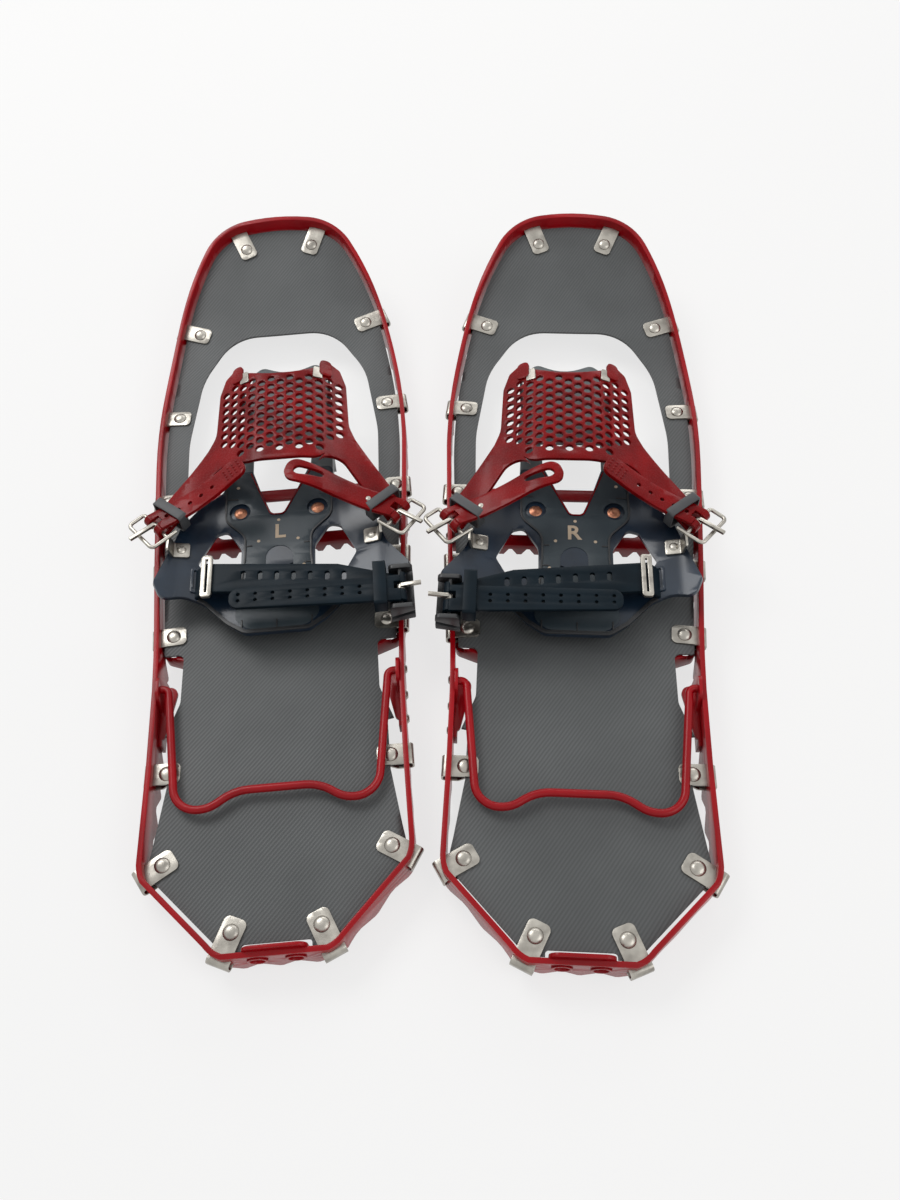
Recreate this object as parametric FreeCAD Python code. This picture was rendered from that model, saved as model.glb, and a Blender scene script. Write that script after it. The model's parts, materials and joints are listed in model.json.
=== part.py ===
import FreeCAD, Part
import math
import os
from FreeCAD import Vector

# A pair of snowshoes. Every piece is drawn once, for the right shoe, in the shoe's own frame:
# +Y to the toe, +X to the outer side of the foot, +Z up, zero at the middle of the shoe and on
# the floor. The left shoe is its mirror image. Units are millimetres and degrees.

# ---- Driving dimensions -------------------------------------------------------------------
# the pair
shoe_spacing = 197.4        # centre of one shoe to centre of the other
shoe_stagger = 4.25         # each shoe stands this far fore or aft of the middle
toe_out = 3.85              # each toe turns outwards by this angle

# the toothed band that is the frame
band_half_outline = [       # outer face seen from above: ends of its tangent arcs, toe to tail
    (0, 279.8), (25, 277.8), (57, 255), (80, 190), (88.6, 60), (80, -65), (76.5, -140), (76.8, -222)]
tail_corner = (74, -235)    # where the side turns into the chamfer
tail_chamfer_end = (38, -272)
tail_y = -279.4
band_thickness = 3
band_above_deck = 7
tooth_root_depth = 10       # below the deck's top face
tooth_tip_depth = 17
tooth_pitch = 20
tooth_root_width = 3
tooth_tip_width = 2.0
first_tooth = -267          # along the band's side line, measured from the middle of the shoe
tooth_count = 23

# the deck and its upturned toe
deck_top = 17
deck_thickness = 1.5
deck_gap = 2                # between the deck's edge and the band
bend_start = 128            # the toe starts to rise here
bend_radius = 260
bend_angle = 20
reach = 120                 # half width of a block that spans the whole shoe

# clips that hold the deck to the band: rivet place, and the way the clip points out
clip_rows = [(25.8, 260.2, 68), (64.5, 191.9, 19), (77, 112.5, 4), (79.6, 33.4, 0),
             (73.5, -25.3, -4), (68.1, -76.6, -4), (65.7, -170.1, 0), (64, -224.6, -32),
             (24.3, -264.3, -66)]
clip_width = 13
clip_thickness = 1.2
clip_bulge = 2.4            # outside the band
clip_lower_depth = 6        # lower leg where it crosses the band
clip_bend_start = 7         # inside the band's outer face, where the lower leg starts to rise
clip_bend_end = 11
clip_end_margin = 8         # from the rivet to the clip's inner end
clip_end_chamfer = 3
slot_clearance = 0.2
rivet_head_radius = 4.5
rivet_head_height = 1.9

# the tail
eyelet_offset = 10.2
eyelet_bore_radius = 4.15
eyelet_rim_radius = 5.65
eyelet_z = 15.5
eyelet_rim_height = 0.8
eyelet_wall = 0.6
splice_half_width = 17.5
splice_thickness = 2
splice_rise = 4.5           # above the band's top edge

# cross members
sheet_thickness = 2.5
member_web_z = 9.5
front_rail = (33, 42)
rear_rail = (-7, 2)
rail_tooth_pitch = 12
rail_tooth_depth = 6
rail_bottom_z = 1.5
clip_room_z = 10.1          # the clips' lower legs lie above this
pivot_y = 38
pivot_z = 18
pivot_pin_radius = 2.5
pivot_ear_x = 31.3
pivot_ear_radius = 6
running_gap = 0.06

# rivets on the band: places (y, z) on each side
band_rivet_places = [(3, 6.8), (23, 6.8), (-77, 6.8), (-111, 12), (-128, 10), (-144, 9.5)]
band_rivet_radius = 3.2
band_rivet_height = 1.4
band_rivet_seat = 0.05      # a flat head on a curved band

# the heel lifter
lifter_y = -117
lifter_z = 23
lifter_sheet = 2
lifter_bracket_y = (-150, -105)
bail_radius = 2.4

# the binding
base_rivet_places = [(26, 9), (11, -42.5)]
base_rivet_radius = 4.4
base_rivet_height = 1.1
base_recess_radius = 7      # each head lies below the base's face, in a round recess
base_recess_depth = 1.3
anchor_rivet_radius = 3.2
strap_width = 17
wrap_thickness = 2.4
strap_level = 43.2          # middle of an arm where it meets its buckle
strap_return = 7            # free end above the arm
strap_thickness = 2.4
medial_bar = (-81, -14)
lateral_bar = (77, -9)
medial_tip = (-11, 12)
lateral_tip = (17, 21)
medial_turn = -140          # the way each buckle's loop points
lateral_turn = -40
bar_z = 46.4
buckle_wire_radius = 1.3
prong_ring_radius = 1.45 + 0.9
prong_ring_width = 3.4
wing_slope = 11.8
heel_bar_x = -79
heel_bar_z = 46.5
heel_buckle_y = (-88.5, -56.5)
heel_level = 44
heel_return = 5.4           # upper layer of the strap above the lower one
heel_keeper_x = (-70.5, -62.5)
heel_keeper_y = (-84.5, -56)
heel_keeper_wall = 1.6
strap_fall = 0.5            # how far the lower layer has sloped down by the keeper's inner end
crampon_z = 26
crampon_thickness = 2
crampon_flange_x = 34.5
crampon_boss_radius = 5.3
base_z = 28
base_thickness = 3
toe_shift = -5.5            # the front of the binding leans to the inner side of the foot

# ---- Drawing helpers ----------------------------------------------------------------------
X = Vector(1, 0, 0)
Y = Vector(0, 1, 0)
Z = Vector(0, 0, 1)
ORIGIN = Vector(0, 0, 0)
PLANES = {
    "plan": (lambda a, b: Vector(a, b, 0), Z),      # seen from above, a = x, b = y
    "side": (lambda a, b: Vector(0, a, b), X),      # seen from the side, a = y, b = z
    "front": (lambda a, b: Vector(a, 0, b), Y)}     # seen from the toe, a = x, b = z


def rounded_corner(before, corner, after, radius):
    """Start, middle and end of the arc that rounds a corner."""
    into = (corner - before).normalize()
    out = (after - corner).normalize()
    turn = into.getAngle(out)
    if radius == 0 or turn < 1e-6:
        return [corner]
    reach_back = radius * math.tan(turn / 2)
    inward = (out - into).normalize()
    return [corner - into * reach_back,
            corner + inward * (radius / math.cos(turn / 2) - radius),
            corner + out * reach_back]


def rounded_edges(corners, closed):
    """Edges through the corners, each a vector and a radius, rounded where it isn't zero."""
    count = len(corners)
    stops = []
    for i, (corner, radius) in enumerate(corners):
        if not closed and i in (0, count - 1):
            stops.append([corner])
            continue
        before = corners[i - 1][0]
        after = corners[(i + 1) % count][0]
        stops.append(rounded_corner(before, corner, after, radius))
    edges = []
    for i, stop in enumerate(stops):
        if len(stop) == 3:
            edges.append(Part.Arc(*stop).toShape())
        if i + 1 < count or closed:
            follow = stops[(i + 1) % count][0]
            if (follow - stop[-1]).Length > 1e-6:
                edges.append(Part.makeLine(stop[-1], follow))
    return edges


def prism(plane, corners, start, end):
    """A solid whose section is a rounded polygon, each corner (a, b) or (a, b, radius)."""
    point, normal = PLANES[plane]
    vectors = [(point(c[0], c[1]), c[2] if len(c) > 2 else 0) for c in corners]
    face = Part.Face(Part.Wire(rounded_edges(vectors, True)))
    face.translate(normal * start)
    return face.extrude(normal * (end - start))


def both_sides(half, shift=0):
    """A half outline on the +x side and its mirror image, as one closed list of corners."""
    right = [(c[0] + shift,) + tuple(c[1:]) for c in half]
    left = [(shift - c[0],) + tuple(c[1:]) for c in reversed(half)]
    return right + left


def strip_corners(points, thickness):
    """Outline of a bent strip of even thickness about an open run of points."""
    left = []
    right = []
    for i, point in enumerate(points):
        before = points[max(i - 1, 0)]
        after = points[min(i + 1, len(points) - 1)]
        to_here = math.atan2(point[1] - before[1], point[0] - before[0])
        from_here = math.atan2(after[1] - point[1], after[0] - point[0])
        if i == 0:
            to_here = from_here
        if i == len(points) - 1:
            from_here = to_here
        half_turn = (from_here - to_here + math.pi) % (2 * math.pi) - math.pi
        half_turn = half_turn / 2
        across = to_here + half_turn + math.pi / 2
        half = thickness / 2 / math.cos(half_turn)
        radius = point[2] if len(point) > 2 else 0
        inner = max(radius - thickness / 2, 0)
        outer = radius + thickness / 2 if radius else 0
        if half_turn > 0:
            radii = (inner, outer)
        else:
            radii = (outer, inner)
        left.append((point[0] + half * math.cos(across), point[1] + half * math.sin(across), radii[0]))
        right.append((point[0] - half * math.cos(across), point[1] - half * math.sin(across), radii[1]))
    return left + right[::-1]


def strip(plane, points, thickness, start, end):
    """Sheet metal or webbing bent along an open run of points, (a, b) or (a, b, radius)."""
    return prism(plane, strip_corners(points, thickness), start, end)


def rod(start, end, radius):
    return Part.makeCylinder(radius, (end - start).Length, start, end - start)


def round_bar(points, radius):
    """A bent wire swept along straight runs and tangent arcs; twelve flats stand for round."""
    spine = Part.Wire(rounded_edges(points, False))
    way = spine.Edges[0].tangentAt(spine.Edges[0].FirstParameter)
    section = Part.makePolygon([Vector(math.cos(i * math.pi / 6), math.sin(i * math.pi / 6), 0) * radius
                                for i in range(13)])
    section.Placement = FreeCAD.Placement(points[0][0], FreeCAD.Rotation(Z, way))
    return spine.makePipeShell([section], True, False, 1)


def turned(profile, base, axis):
    """A solid of revolution from (radius, height) pairs, standing on base along axis."""
    points = [Vector(r, 0, h) for r, h in profile]
    face = Part.Face(Part.makePolygon(points + points[:1]))
    solid = face.revolve(ORIGIN, Z, 360)
    solid.Placement = FreeCAD.Placement(base, FreeCAD.Rotation(Z, axis))
    return solid


def mirror_x(shape):
    return shape.mirror(ORIGIN, X)


def pair(shape):
    """A piece and its mirror image on the other side of the shoe."""
    return Part.makeCompound([shape, mirror_x(shape)])


# ---- The shoe's two guiding shapes: its outline from above and its line from the side ------
def tangent_arcs(points, way):
    """A smooth run of arcs from point to point that starts out along way."""
    edges = []
    for start, end in zip(points, points[1:]):
        chord = end - start
        across = Z.cross(way).normalize()
        radius = chord.dot(chord) / (2 * chord.dot(across))
        centre = start + across * radius
        half_way = ((start - centre) + (end - centre)).normalize() * abs(radius)
        arc = Part.Arc(start, centre + half_way, end).toShape()
        edges.append(arc)
        way = arc.tangentAt(arc.LastParameter)
    return edges


def band_outline():
    """Closed wire of the band's outer face, seen from above."""
    points = [Vector(x, y, 0) for x, y in band_half_outline]
    corner = Vector(*tail_corner, 0)
    chamfer_end = Vector(*tail_chamfer_end, 0)
    tail_start = Vector(28, tail_y, 0)
    half = tangent_arcs(points, X)
    half.append(Part.Arc(points[-1], Vector(76.2, -229, 0), corner).toShape())
    half.append(Part.makeLine(corner, chamfer_end))
    half.append(Part.Arc(chamfer_end, Vector(33.4, -276.6, 0), tail_start).toShape())
    edges = half + [mirror_x(edge) for edge in half]
    edges.append(Part.makeLine(tail_start, Vector(-tail_start.x, tail_y, 0)))
    return Part.Wire(Part.__sortEdges__(edges))


def inside_outline(distance):
    """Everything that lies at least this far inside the band's outer face, as a tall block.

    Its arcs become exact splines, because walls of that kind need fewer facets.
    """
    wire = band_outline()
    if distance:
        wire = wire.makeOffset2D(-distance)
    edges = []
    for edge in wire.Edges:
        if isinstance(edge.Curve, Part.Circle):
            first, last = edge.ParameterRange
            arc = Part.Arc(edge.valueAt(first), edge.valueAt((first + last) / 2), edge.valueAt(last))
            edge = arc.toBSpline().toShape()
        edges.append(edge)
    return Part.Face(Part.Wire(Part.__sortEdges__(edges))).extrude(Z * 100)


def side_line(depth):
    """The shoe's line seen from the side at a depth above (+) or below (-) the deck's top."""
    level = deck_top + depth
    angle = math.radians(bend_angle)
    centre = Vector(0, bend_start, deck_top + bend_radius)
    radius = bend_radius - depth
    start = Vector(0, -300, level)
    bend = Vector(0, bend_start, level)
    middle = centre + Vector(0, math.sin(angle / 2), -math.cos(angle / 2)) * radius
    straight = centre + Vector(0, math.sin(angle), -math.cos(angle)) * radius
    end = straight + Vector(0, math.cos(angle), math.sin(angle)) * 110
    edges = [Part.makeLine(start, bend), Part.Arc(bend, middle, straight).toShape(),
             Part.makeLine(straight, end)]
    return edges, start, end


def between_lines(low, high):
    """The block between two side lines, right across the shoe."""
    low_edges, low_start, low_end = side_line(low)
    high_edges, high_start, high_end = side_line(high)
    edges = low_edges + high_edges
    edges.append(Part.makeLine(low_start, high_start))
    edges.append(Part.makeLine(low_end, high_end))
    face = Part.Face(Part.Wire(Part.__sortEdges__(edges)))
    face.translate(X * -reach)
    return face.extrude(X * (2 * reach))


def deck_place(y):
    """Height of the deck's top and its slope at a distance along the shoe."""
    if y < bend_start:
        return deck_top, 0
    end_y = bend_start + bend_radius * math.sin(math.radians(bend_angle))
    slope = math.degrees(math.asin(min(y, end_y) / bend_radius - bend_start / bend_radius))
    height = deck_top + bend_radius * (1 - math.cos(math.radians(slope)))
    if y > end_y:
        height = height + (y - end_y) * math.tan(math.radians(slope))
    return height, slope


def on_the_deck(shape, x, y, heading):
    """Move a piece drawn with +X outwards and +Z up from zero to its place on the deck."""
    height, slope = deck_place(y)
    shape = shape.copy()
    shape.rotate(ORIGIN, Z, heading)
    shape.rotate(ORIGIN, X, slope)
    shape.translate(Vector(x, y, height))
    return shape


# ---- Frame: the toothed band, tail plate, deck and its clips --------------------------------
def clip_places():
    """Rivet place, heading and distance out to the band's outer face, for every clip."""
    outline = band_outline()
    places = []
    for x, y, heading in clip_rows:
        way = Vector(math.cos(math.radians(heading)), math.sin(math.radians(heading)), 0)
        start = Vector(x, y, 0)
        crossing = outline.distToShape(Part.makeLine(start, start + way * 60))[1][0][0]
        places.append((x, y, heading, (crossing - start).Length))
    return places


def clip_slots(reach_out):
    """The two slots that one clip's legs pass through, from inside the band to outside."""
    cutters = []
    for level in (clip_thickness / 2, -clip_lower_depth):
        height = clip_thickness + 2 * slot_clearance
        width = clip_width + 2 * slot_clearance
        slot = Part.makeBox(5 * band_thickness, width, height)
        slot.translate(Vector(reach_out - 4 * band_thickness, -width / 2, level - height / 2))
        cutters.append(slot)
    return Part.makeCompound(cutters)


def deck_clip(reach_out):
    """One strip: over the deck, out through a slot, down, back in and up under the deck."""
    top = clip_thickness / 2
    under = -deck_thickness - clip_thickness / 2
    outside = reach_out + clip_bulge
    line = [(-clip_end_margin, top), (outside, top), (outside, -clip_lower_depth),
            (reach_out - clip_bend_start, -clip_lower_depth), (reach_out - clip_bend_end, under),
            (-clip_end_margin, under)]
    half = clip_width / 2
    neck = half - clip_end_chamfer
    outline = [(reach_out + 5, half), (clip_end_chamfer - clip_end_margin, half),
               (-clip_end_margin, neck), (-clip_end_margin, -neck),
               (clip_end_chamfer - clip_end_margin, -half), (reach_out + 5, -half)]
    clip = strip("front", line, clip_thickness, -half, half)
    return clip.common(prism("plan", outline, -20, 20))


def rivet_head(radius, height):
    """A rivet's head with ten flat sides, few enough for one that is repeated so often."""
    rings = [[Vector(math.cos(i * math.pi / 5) * r, math.sin(i * math.pi / 5) * r, z) for i in range(11)]
             for r, z in ((radius, 0), (radius * 0.6, height))]
    faces = [Part.Face(Part.makePolygon(ring)) for ring in rings]
    foot, crown = rings
    for i in range(10):
        corners = [foot[i], foot[i + 1], crown[i + 1], crown[i], foot[i]]
        faces.append(Part.Face(Part.makePolygon(corners)))
    return Part.Solid(Part.Shell(faces))


def tooth_notches():
    """V notches across the shoe that leave the teeth along the band's lower edge."""
    deep = tooth_tip_depth + 2
    spread = (tooth_pitch - tooth_tip_width) / 2
    flare = spread + (spread - tooth_root_width / 2) * 2 / (tooth_tip_depth - tooth_root_depth)
    corners = [(-tooth_root_width / 2, -tooth_root_depth), (tooth_root_width / 2, -tooth_root_depth),
               (flare, -deep), (-flare, -deep)]
    notch = prism("side", corners, -reach, reach)
    notches = []
    for i in range(tooth_count):
        station = first_tooth + i * tooth_pitch
        copy = notch.copy()
        if station < bend_start:
            copy.translate(Vector(0, station, deck_top))
        else:
            copy.translate(Z * -bend_radius)
            copy.rotate(ORIGIN, X, math.degrees((station - bend_start) / bend_radius))
            copy.translate(Vector(0, bend_start, deck_top + bend_radius))
        notches.append(copy)
    across = prism("front", corners, tail_y - 5, tail_y + 10)
    for i in (-1.5, -0.5, 0.5, 1.5):
        copy = across.copy()
        copy.translate(Vector(i * tooth_pitch, 0, deck_top))
        notches.append(copy)
    return notches


def frame_blade():
    """The band: one strip of metal round the shoe, upturned at the toe and toothed below."""
    ring = inside_outline(0).cut(inside_outline(band_thickness))
    band = ring.common(between_lines(-tooth_tip_depth, band_above_deck))
    band = band.cut(tooth_notches())
    slots = []
    for x, y, heading, reach_out in clip_places():
        slot = on_the_deck(clip_slots(reach_out), x, y, heading)
        slots = slots + [slot, mirror_x(slot)]
    bores = [rod(Vector(side * eyelet_offset, tail_y - 5, eyelet_z),
                 Vector(side * eyelet_offset, tail_y + 10, eyelet_z), eyelet_bore_radius + eyelet_wall)
             for side in (-1, 1)]
    return band.cut(slots + bores)


def tail_splice_plate():
    """The plate inside the tail, riveted over the joint by the two eyelets."""
    inner = tail_y + band_thickness
    bottom = deck_top - tooth_root_depth + 1
    top = deck_top + band_above_deck + splice_rise
    w = splice_half_width
    plate = prism("front", [(-w, bottom), (w, bottom), (w, top, 6), (-w, top, 6)],
                  inner, inner + splice_thickness)
    for side in (-1, 1):
        place = Vector(side * eyelet_offset, inner - 1, eyelet_z)
        plate = plate.cut(rod(place, place + Y * 5, eyelet_bore_radius + eyelet_wall))
    return plate


def tail_eyelets():
    """Two rolled rings, flush through band and plate, flanged on both faces."""
    grip = band_thickness + splice_thickness
    bore = eyelet_bore_radius
    outer = bore + eyelet_wall
    h = eyelet_rim_height
    profile = [(bore, -h), (eyelet_rim_radius, -h), (eyelet_rim_radius, 0), (outer, 0), (outer, grip),
               (eyelet_rim_radius, grip), (eyelet_rim_radius, grip + h), (bore, grip + h)]
    return Part.makeCompound([turned(profile, Vector(side * eyelet_offset, tail_y, eyelet_z), Y)
                              for side in (-1, 1)])


def deck_opening():
    """The toe opening's outline: wide at the ball of the foot, round at the toe."""
    half = [(39, 188, 34), (62, 150, 60), (69, 88, 120), (66, -8, 60), (58, -45, 26)]
    return prism("plan", both_sides(half), 0, 100)


def deck():
    """The deck sheet, clear of the band, with its toe opening and a recess beside each lifter bracket."""
    sheet = inside_outline(band_thickness + deck_gap).common(between_lines(-deck_thickness, 0))
    recess = prism("plan", [(61, -90, 4), (61, -124, 10), (69, -146, 6), (69, -157, 4), (100, -157),
                            (100, -90)], 0, 100)
    tail_recess = prism("plan", both_sides([(19, tail_y), (19, -271, 2)]), 0, 100)
    return sheet.cut([deck_opening(), recess, mirror_x(recess), tail_recess])


def deck_clips():
    clips = []
    for x, y, heading, reach_out in clip_places():
        clip = on_the_deck(deck_clip(reach_out), x, y, heading)
        if bend_start < y < bend_start + bend_radius * math.sin(math.radians(bend_angle)):
            clip = clip.cut(between_lines(-deck_thickness, 0))      # seats on the curved deck
        clips = clips + [clip, mirror_x(clip)]
    return Part.makeCompound(clips)


def deck_rivets():
    rivets = []
    for x, y, heading in clip_rows:
        one = rivet_head(rivet_head_radius, rivet_head_height)
        one.translate(Z * clip_thickness)
        one = on_the_deck(one, x, y, heading)
        rivets = rivets + [one, mirror_x(one)]
    return Part.makeCompound(rivets)


# ---- Under the foot: cross members, pivot and heel lifter ------------------------------------
def toothed_flange(y, half_length):
    """A rail's downturned edge with teeth, standing across the shoe at y."""
    top = member_web_z + sheet_thickness
    flange = Part.makeBox(2 * half_length, sheet_thickness, top - rail_bottom_z,
                          Vector(-half_length, y, rail_bottom_z))
    half = rail_tooth_pitch / 2 - 1
    root = rail_bottom_z + rail_tooth_depth
    notch = prism("front", [(-half, rail_bottom_z - 1), (half, rail_bottom_z - 1), (1, root), (-1, root)],
                  y - 1, y + sheet_thickness + 1)
    count = int(2 * half_length / rail_tooth_pitch)
    notches = [notch.translated(X * rail_tooth_pitch * (i - (count - 1) / 2)) for i in range(count)]
    return flange.cut(notches)


def front_cross_member():
    """Two toothed rails pressed from one sheet, with ears for the pivot and end tabs."""
    top = member_web_z + sheet_thickness
    back, front = rear_rail[0], front_rail[1]
    web = prism("plan", both_sides([(100, front), (100, back)]), member_web_z, top)
    centre_window = prism("plan", both_sides([(46, front_rail[0], 6), (46, rear_rail[1], 6)]), 0, 30)
    side_window = prism("plan", [(53, rear_rail[1], 5), (68, rear_rail[1], 5),
                                 (68, front_rail[0], 5), (53, front_rail[0], 5)], 0, 30)
    web = web.cut([centre_window, side_window, mirror_x(side_window)])
    tab_zone = Part.makeBox(2 * reach, front - back, top + 1 - 3, Vector(-reach, back, 3))
    tabs = inside_outline(band_thickness).cut(inside_outline(band_thickness + sheet_thickness))
    member = web.common(inside_outline(band_thickness)).fuse([
        tabs.common(tab_zone), toothed_flange(front - sheet_thickness, 76), toothed_flange(back, 76)])
    clip_room = Part.makeBox(40, 30, 30, Vector(77, 26.4, 0))
    member = member.cut([clip_room, mirror_x(clip_room)])
    ear = prism("side", [(front_rail[0] - 4, top - 1), (pivot_y + 12, top - 1),
                         (pivot_y + 6, pivot_z + 6, 5.9), (pivot_y - 6, pivot_z + 6, 5.9)],
                pivot_ear_x, pivot_ear_x + sheet_thickness)
    ear = ear.common(Part.makeBox(100, front - front_rail[0] + 4, 40, Vector(0, front_rail[0] - 4, 0)))
    ear = ear.cut(rod(Vector(0, pivot_y, pivot_z), Vector(60, pivot_y, pivot_z), pivot_pin_radius))
    return member.fuse([ear, mirror_x(ear)]).removeSplitter()


def pivot_pins():
    """Two headed pins fixed in the cross member's ears."""
    r = pivot_pin_radius
    tip = crampon_flange_x + crampon_thickness + 1.2
    head = pivot_ear_x - 1.5
    profile = [(0, 0), (r + 1.5, 0), (r + 1.5, 1.5), (r, 1.5), (r, tip - head), (0, tip - head)]
    return pair(turned(profile, Vector(head, pivot_y, pivot_z), X))


def pivot_bushings():
    """Plastic sleeves in the crampon plate's flanges that turn on the pins."""
    bore = pivot_pin_radius + running_gap
    wall = 1.1
    length = crampon_thickness
    profile = [(bore, 0), (bore + wall, 0), (bore + wall, length), (bore, length)]
    return pair(turned(profile, Vector(crampon_flange_x, pivot_y, pivot_z), X))


def rear_cross_member():
    """A toothed strip on edge: straight under the heel, bent forwards to its end tabs."""
    half = [(59, -93, 4), (72.4, -87, 5), (74.2, -70)]
    line = [(-x, y) + tuple(r) for x, y, *r in reversed(half)] + half
    member = strip("plan", line, sheet_thickness, 2, deck_top - deck_thickness - 0.5)
    member = member.common(inside_outline(band_thickness))
    clip_room = Part.makeBox(40, 40, 20, Vector(66, -90, clip_room_z))
    member = member.cut([clip_room, mirror_x(clip_room)])
    count = 9
    notch = prism("front", [(-6, 1), (6, 1), (1, 8), (-1, 8)], -100, -86)
    return member.cut([notch.translated(X * 13 * (i - (count - 1) / 2)) for i in range(count)])


def band_side(y):
    """Where the band's outer face is at y, and the heading of its outward normal."""
    outline = band_outline()
    points = [outline.distToShape(Part.makeLine(Vector(40, at, 0), Vector(120, at, 0)))[1][0][0]
              for at in (y - 1, y, y + 1)]
    along = points[2] - points[0]
    return points[1].x, math.degrees(math.atan2(along.y, along.x)) - 90


def band_rivets():
    """Heads of the rivets that hold cross members and lifter brackets, and the tail eyelets."""
    pieces = []
    for y, z in band_rivet_places:
        x, heading = band_side(y)
        head = rivet_head(band_rivet_radius, band_rivet_height)
        head.rotate(ORIGIN, Y, 90)
        head.translate(X * band_rivet_seat)
        head.rotate(ORIGIN, Z, heading)
        head.translate(Vector(x, y, z))
        pieces = pieces + [head, mirror_x(head)]
    return Part.makeCompound(pieces + tail_eyelets().Solids)


def lifter_brackets():
    """Plates on the band's inner face, each with a shelf below the deck and a bored ear."""
    plate = inside_outline(band_thickness).cut(inside_outline(band_thickness + lifter_sheet))
    back, front = lifter_bracket_y
    shape = prism("side", [(back, 4), (front, 4), (front, 17), (lifter_y + 6, 28, 5),
                           (lifter_y - 6, 28, 5), (lifter_y - 12, 14, 3), (back, 14)], 0, 100)
    shelf = prism("plan", [(63, front - 6, 5), (100, front - 6), (100, back + 4), (70, back + 4, 3)],
                  12, 12 + lifter_sheet)
    bracket = plate.common(shape).fuse(shelf.common(inside_outline(band_thickness)))
    bore = rod(Vector(60, lifter_y, lifter_z), Vector(90, lifter_y, lifter_z), bail_radius + running_gap)
    return pair(bracket.cut(bore))


def heel_lifter_bail():
    """The bent wire that stands up under the heel, its two ends turned out into the ears."""
    half = [(73.2, lifter_y, 0), (67, lifter_y, 4), (58, -197, 13), (38, -195.5, 10), (24, -186.3, 12)]
    run = half + [(-x, y, r) for x, y, r in reversed(half)]
    return round_bar([(Vector(x, y, lifter_z), r) for x, y, r in run], bail_radius)


# ---- Binding: crampon plate and moulded base --------------------------------------------------
def crampon_plate():
    """Plate under the foot: side flanges on the pivot, claws, and points bent down in front."""
    middle = crampon_z + crampon_thickness / 2
    s = toe_shift
    sheet = strip("side", [(-52, middle), (102, middle, 8), (128, middle - 21)], crampon_thickness,
                  -60, 60)
    outline = [(22, -50, 3), (22, -28, 15), (25, -15, 20), (33, 0, 20), (36.5, 14, 20), (36.5, 64, 10),
               (s + 31, 92, 10), (s + 31, 108, 2), (s + 23, 126, 1.5), (s + 17, 126, 1.5), (s, 110, 10),
               (s - 17, 126, 1.5), (s - 23, 126, 1.5), (s - 31, 108, 2), (s - 31, 92, 10),
               (-36.5, 64, 10), (-36.5, 14, 20), (-33, 0, 20), (-25, -15, 20), (-22, -28, 15), (-22, -50, 3)]
    plate = sheet.common(prism("plan", outline, 0, 40)).cut(foot_notch(20, 88))
    flange = prism("side", [(8, middle), (66, middle), (66, 16), (61.5, 3.5), (57, 16), (50, 18.5),
                            (44, 19.5, 2), (43, 12.9, 5), (33, 12.9, 5), (28, 18, 3), (20, 16),
                            (15, 3.5), (10, 16)], crampon_flange_x, crampon_flange_x + crampon_thickness)
    bore = pivot_pin_radius + running_gap + 1.1
    flange = flange.cut(rod(Vector(0, pivot_y, pivot_z), Vector(60, pivot_y, pivot_z), bore))
    ear = prism("front", [(s + 27, middle), (s + 31, middle), (s + 33, 49, 1), (s + 31, 49, 1)], 98, 108)
    ears = [ear, ear.mirror(Vector(s, 0, 0), X)]
    return plate.fuse([flange, mirror_x(flange)] + ears).removeSplitter()


def foot_notch(low, front):
    """The V between the two front rails of the plate, through which the snow drops."""
    corners = [(-3, 6, 4), (5, 6, 4), (13, 27, 20), (19, 46, 10), (19, front, 6), (-24, front, 6),
               (-21, 46, 10), (-11, 23, 20)]
    return prism("plan", corners, low, 60)


def wing_section():
    """The base seen from the toe: flat under the foot, with a wing rising on each side."""
    middle = base_z + base_thickness / 2
    half = [(42, middle, 30), (66, middle + 5, 30), (96, middle + 17)]
    run = [(-x, z) + tuple(r) for x, z, *r in reversed(half)] + half
    return strip("front", run, base_thickness, -100, 60)


def base_plate():
    """Moulded base: wings with window cut-outs, a V notch in front and a round heel."""
    half = [(20, 44, 2), (37, 44, 4), (37, 28, 8), (52, 15, 12), (64, -3, 20), (72, -29, 20), (86, -51, 4),
            (81, -61, 4), (60, -57, 15), (46, -63, 15), (31, -79, 8), (20, -87, 8)]
    window = prism("plan", [(52, -32, 4), (41, -8, 4), (34, -6, 4), (24, -22, 8), (24, -43, 4),
                            (44, -45.5, 5)], 0, 60)
    base = wing_section().common(prism("plan", both_sides(half), 0, 60))
    recesses = []
    for x, y in base_rivet_places:
        floor = Vector(x, y, base_z + base_thickness - base_recess_depth)
        recess = Part.makeCylinder(base_recess_radius, 5, floor)
        recesses = recesses + [recess, mirror_x(recess)]
    return base.cut([window, mirror_x(window), foot_notch(20, 60)] + recesses)


def base_rivets():
    heads = []
    for x, y in base_rivet_places:
        head = rivet_head(base_rivet_radius, base_rivet_height)
        head.translate(Vector(x, y, base_z + base_thickness - base_recess_depth))
        heads = heads + [head, mirror_x(head)]
    return Part.makeCompound(heads)


# ---- Binding: the moulded forefoot wrap, its buckles and keepers ---------------------------------
def strap_outline(start, end, half_width):
    """Corners of a straight strap seen from above, from start to end."""
    length = math.dist(start, end)
    across = (-(end[1] - start[1]) / length * half_width, (end[0] - start[0]) / length * half_width)
    return [(start[0] + across[0], start[1] + across[1]), (end[0] + across[0], end[1] + across[1]),
            (end[0] - across[0], end[1] - across[1]), (start[0] - across[0], start[1] - across[1])]


def wrap_section(rise, thickness):
    """The wrap seen from the toe: low at the buckles and arched over the foot."""
    s = toe_shift
    half = [(20, 62, 14), (39, 52, 10), (57, 45, 15), (100, 41)]
    run = [(s - x, z + rise) + tuple(r) for x, z, *r in reversed(half)]
    run = run + [(s + x, z + rise) + tuple(r) for x, z, *r in half]
    return strip("front", run, thickness, -60, 130)


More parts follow.
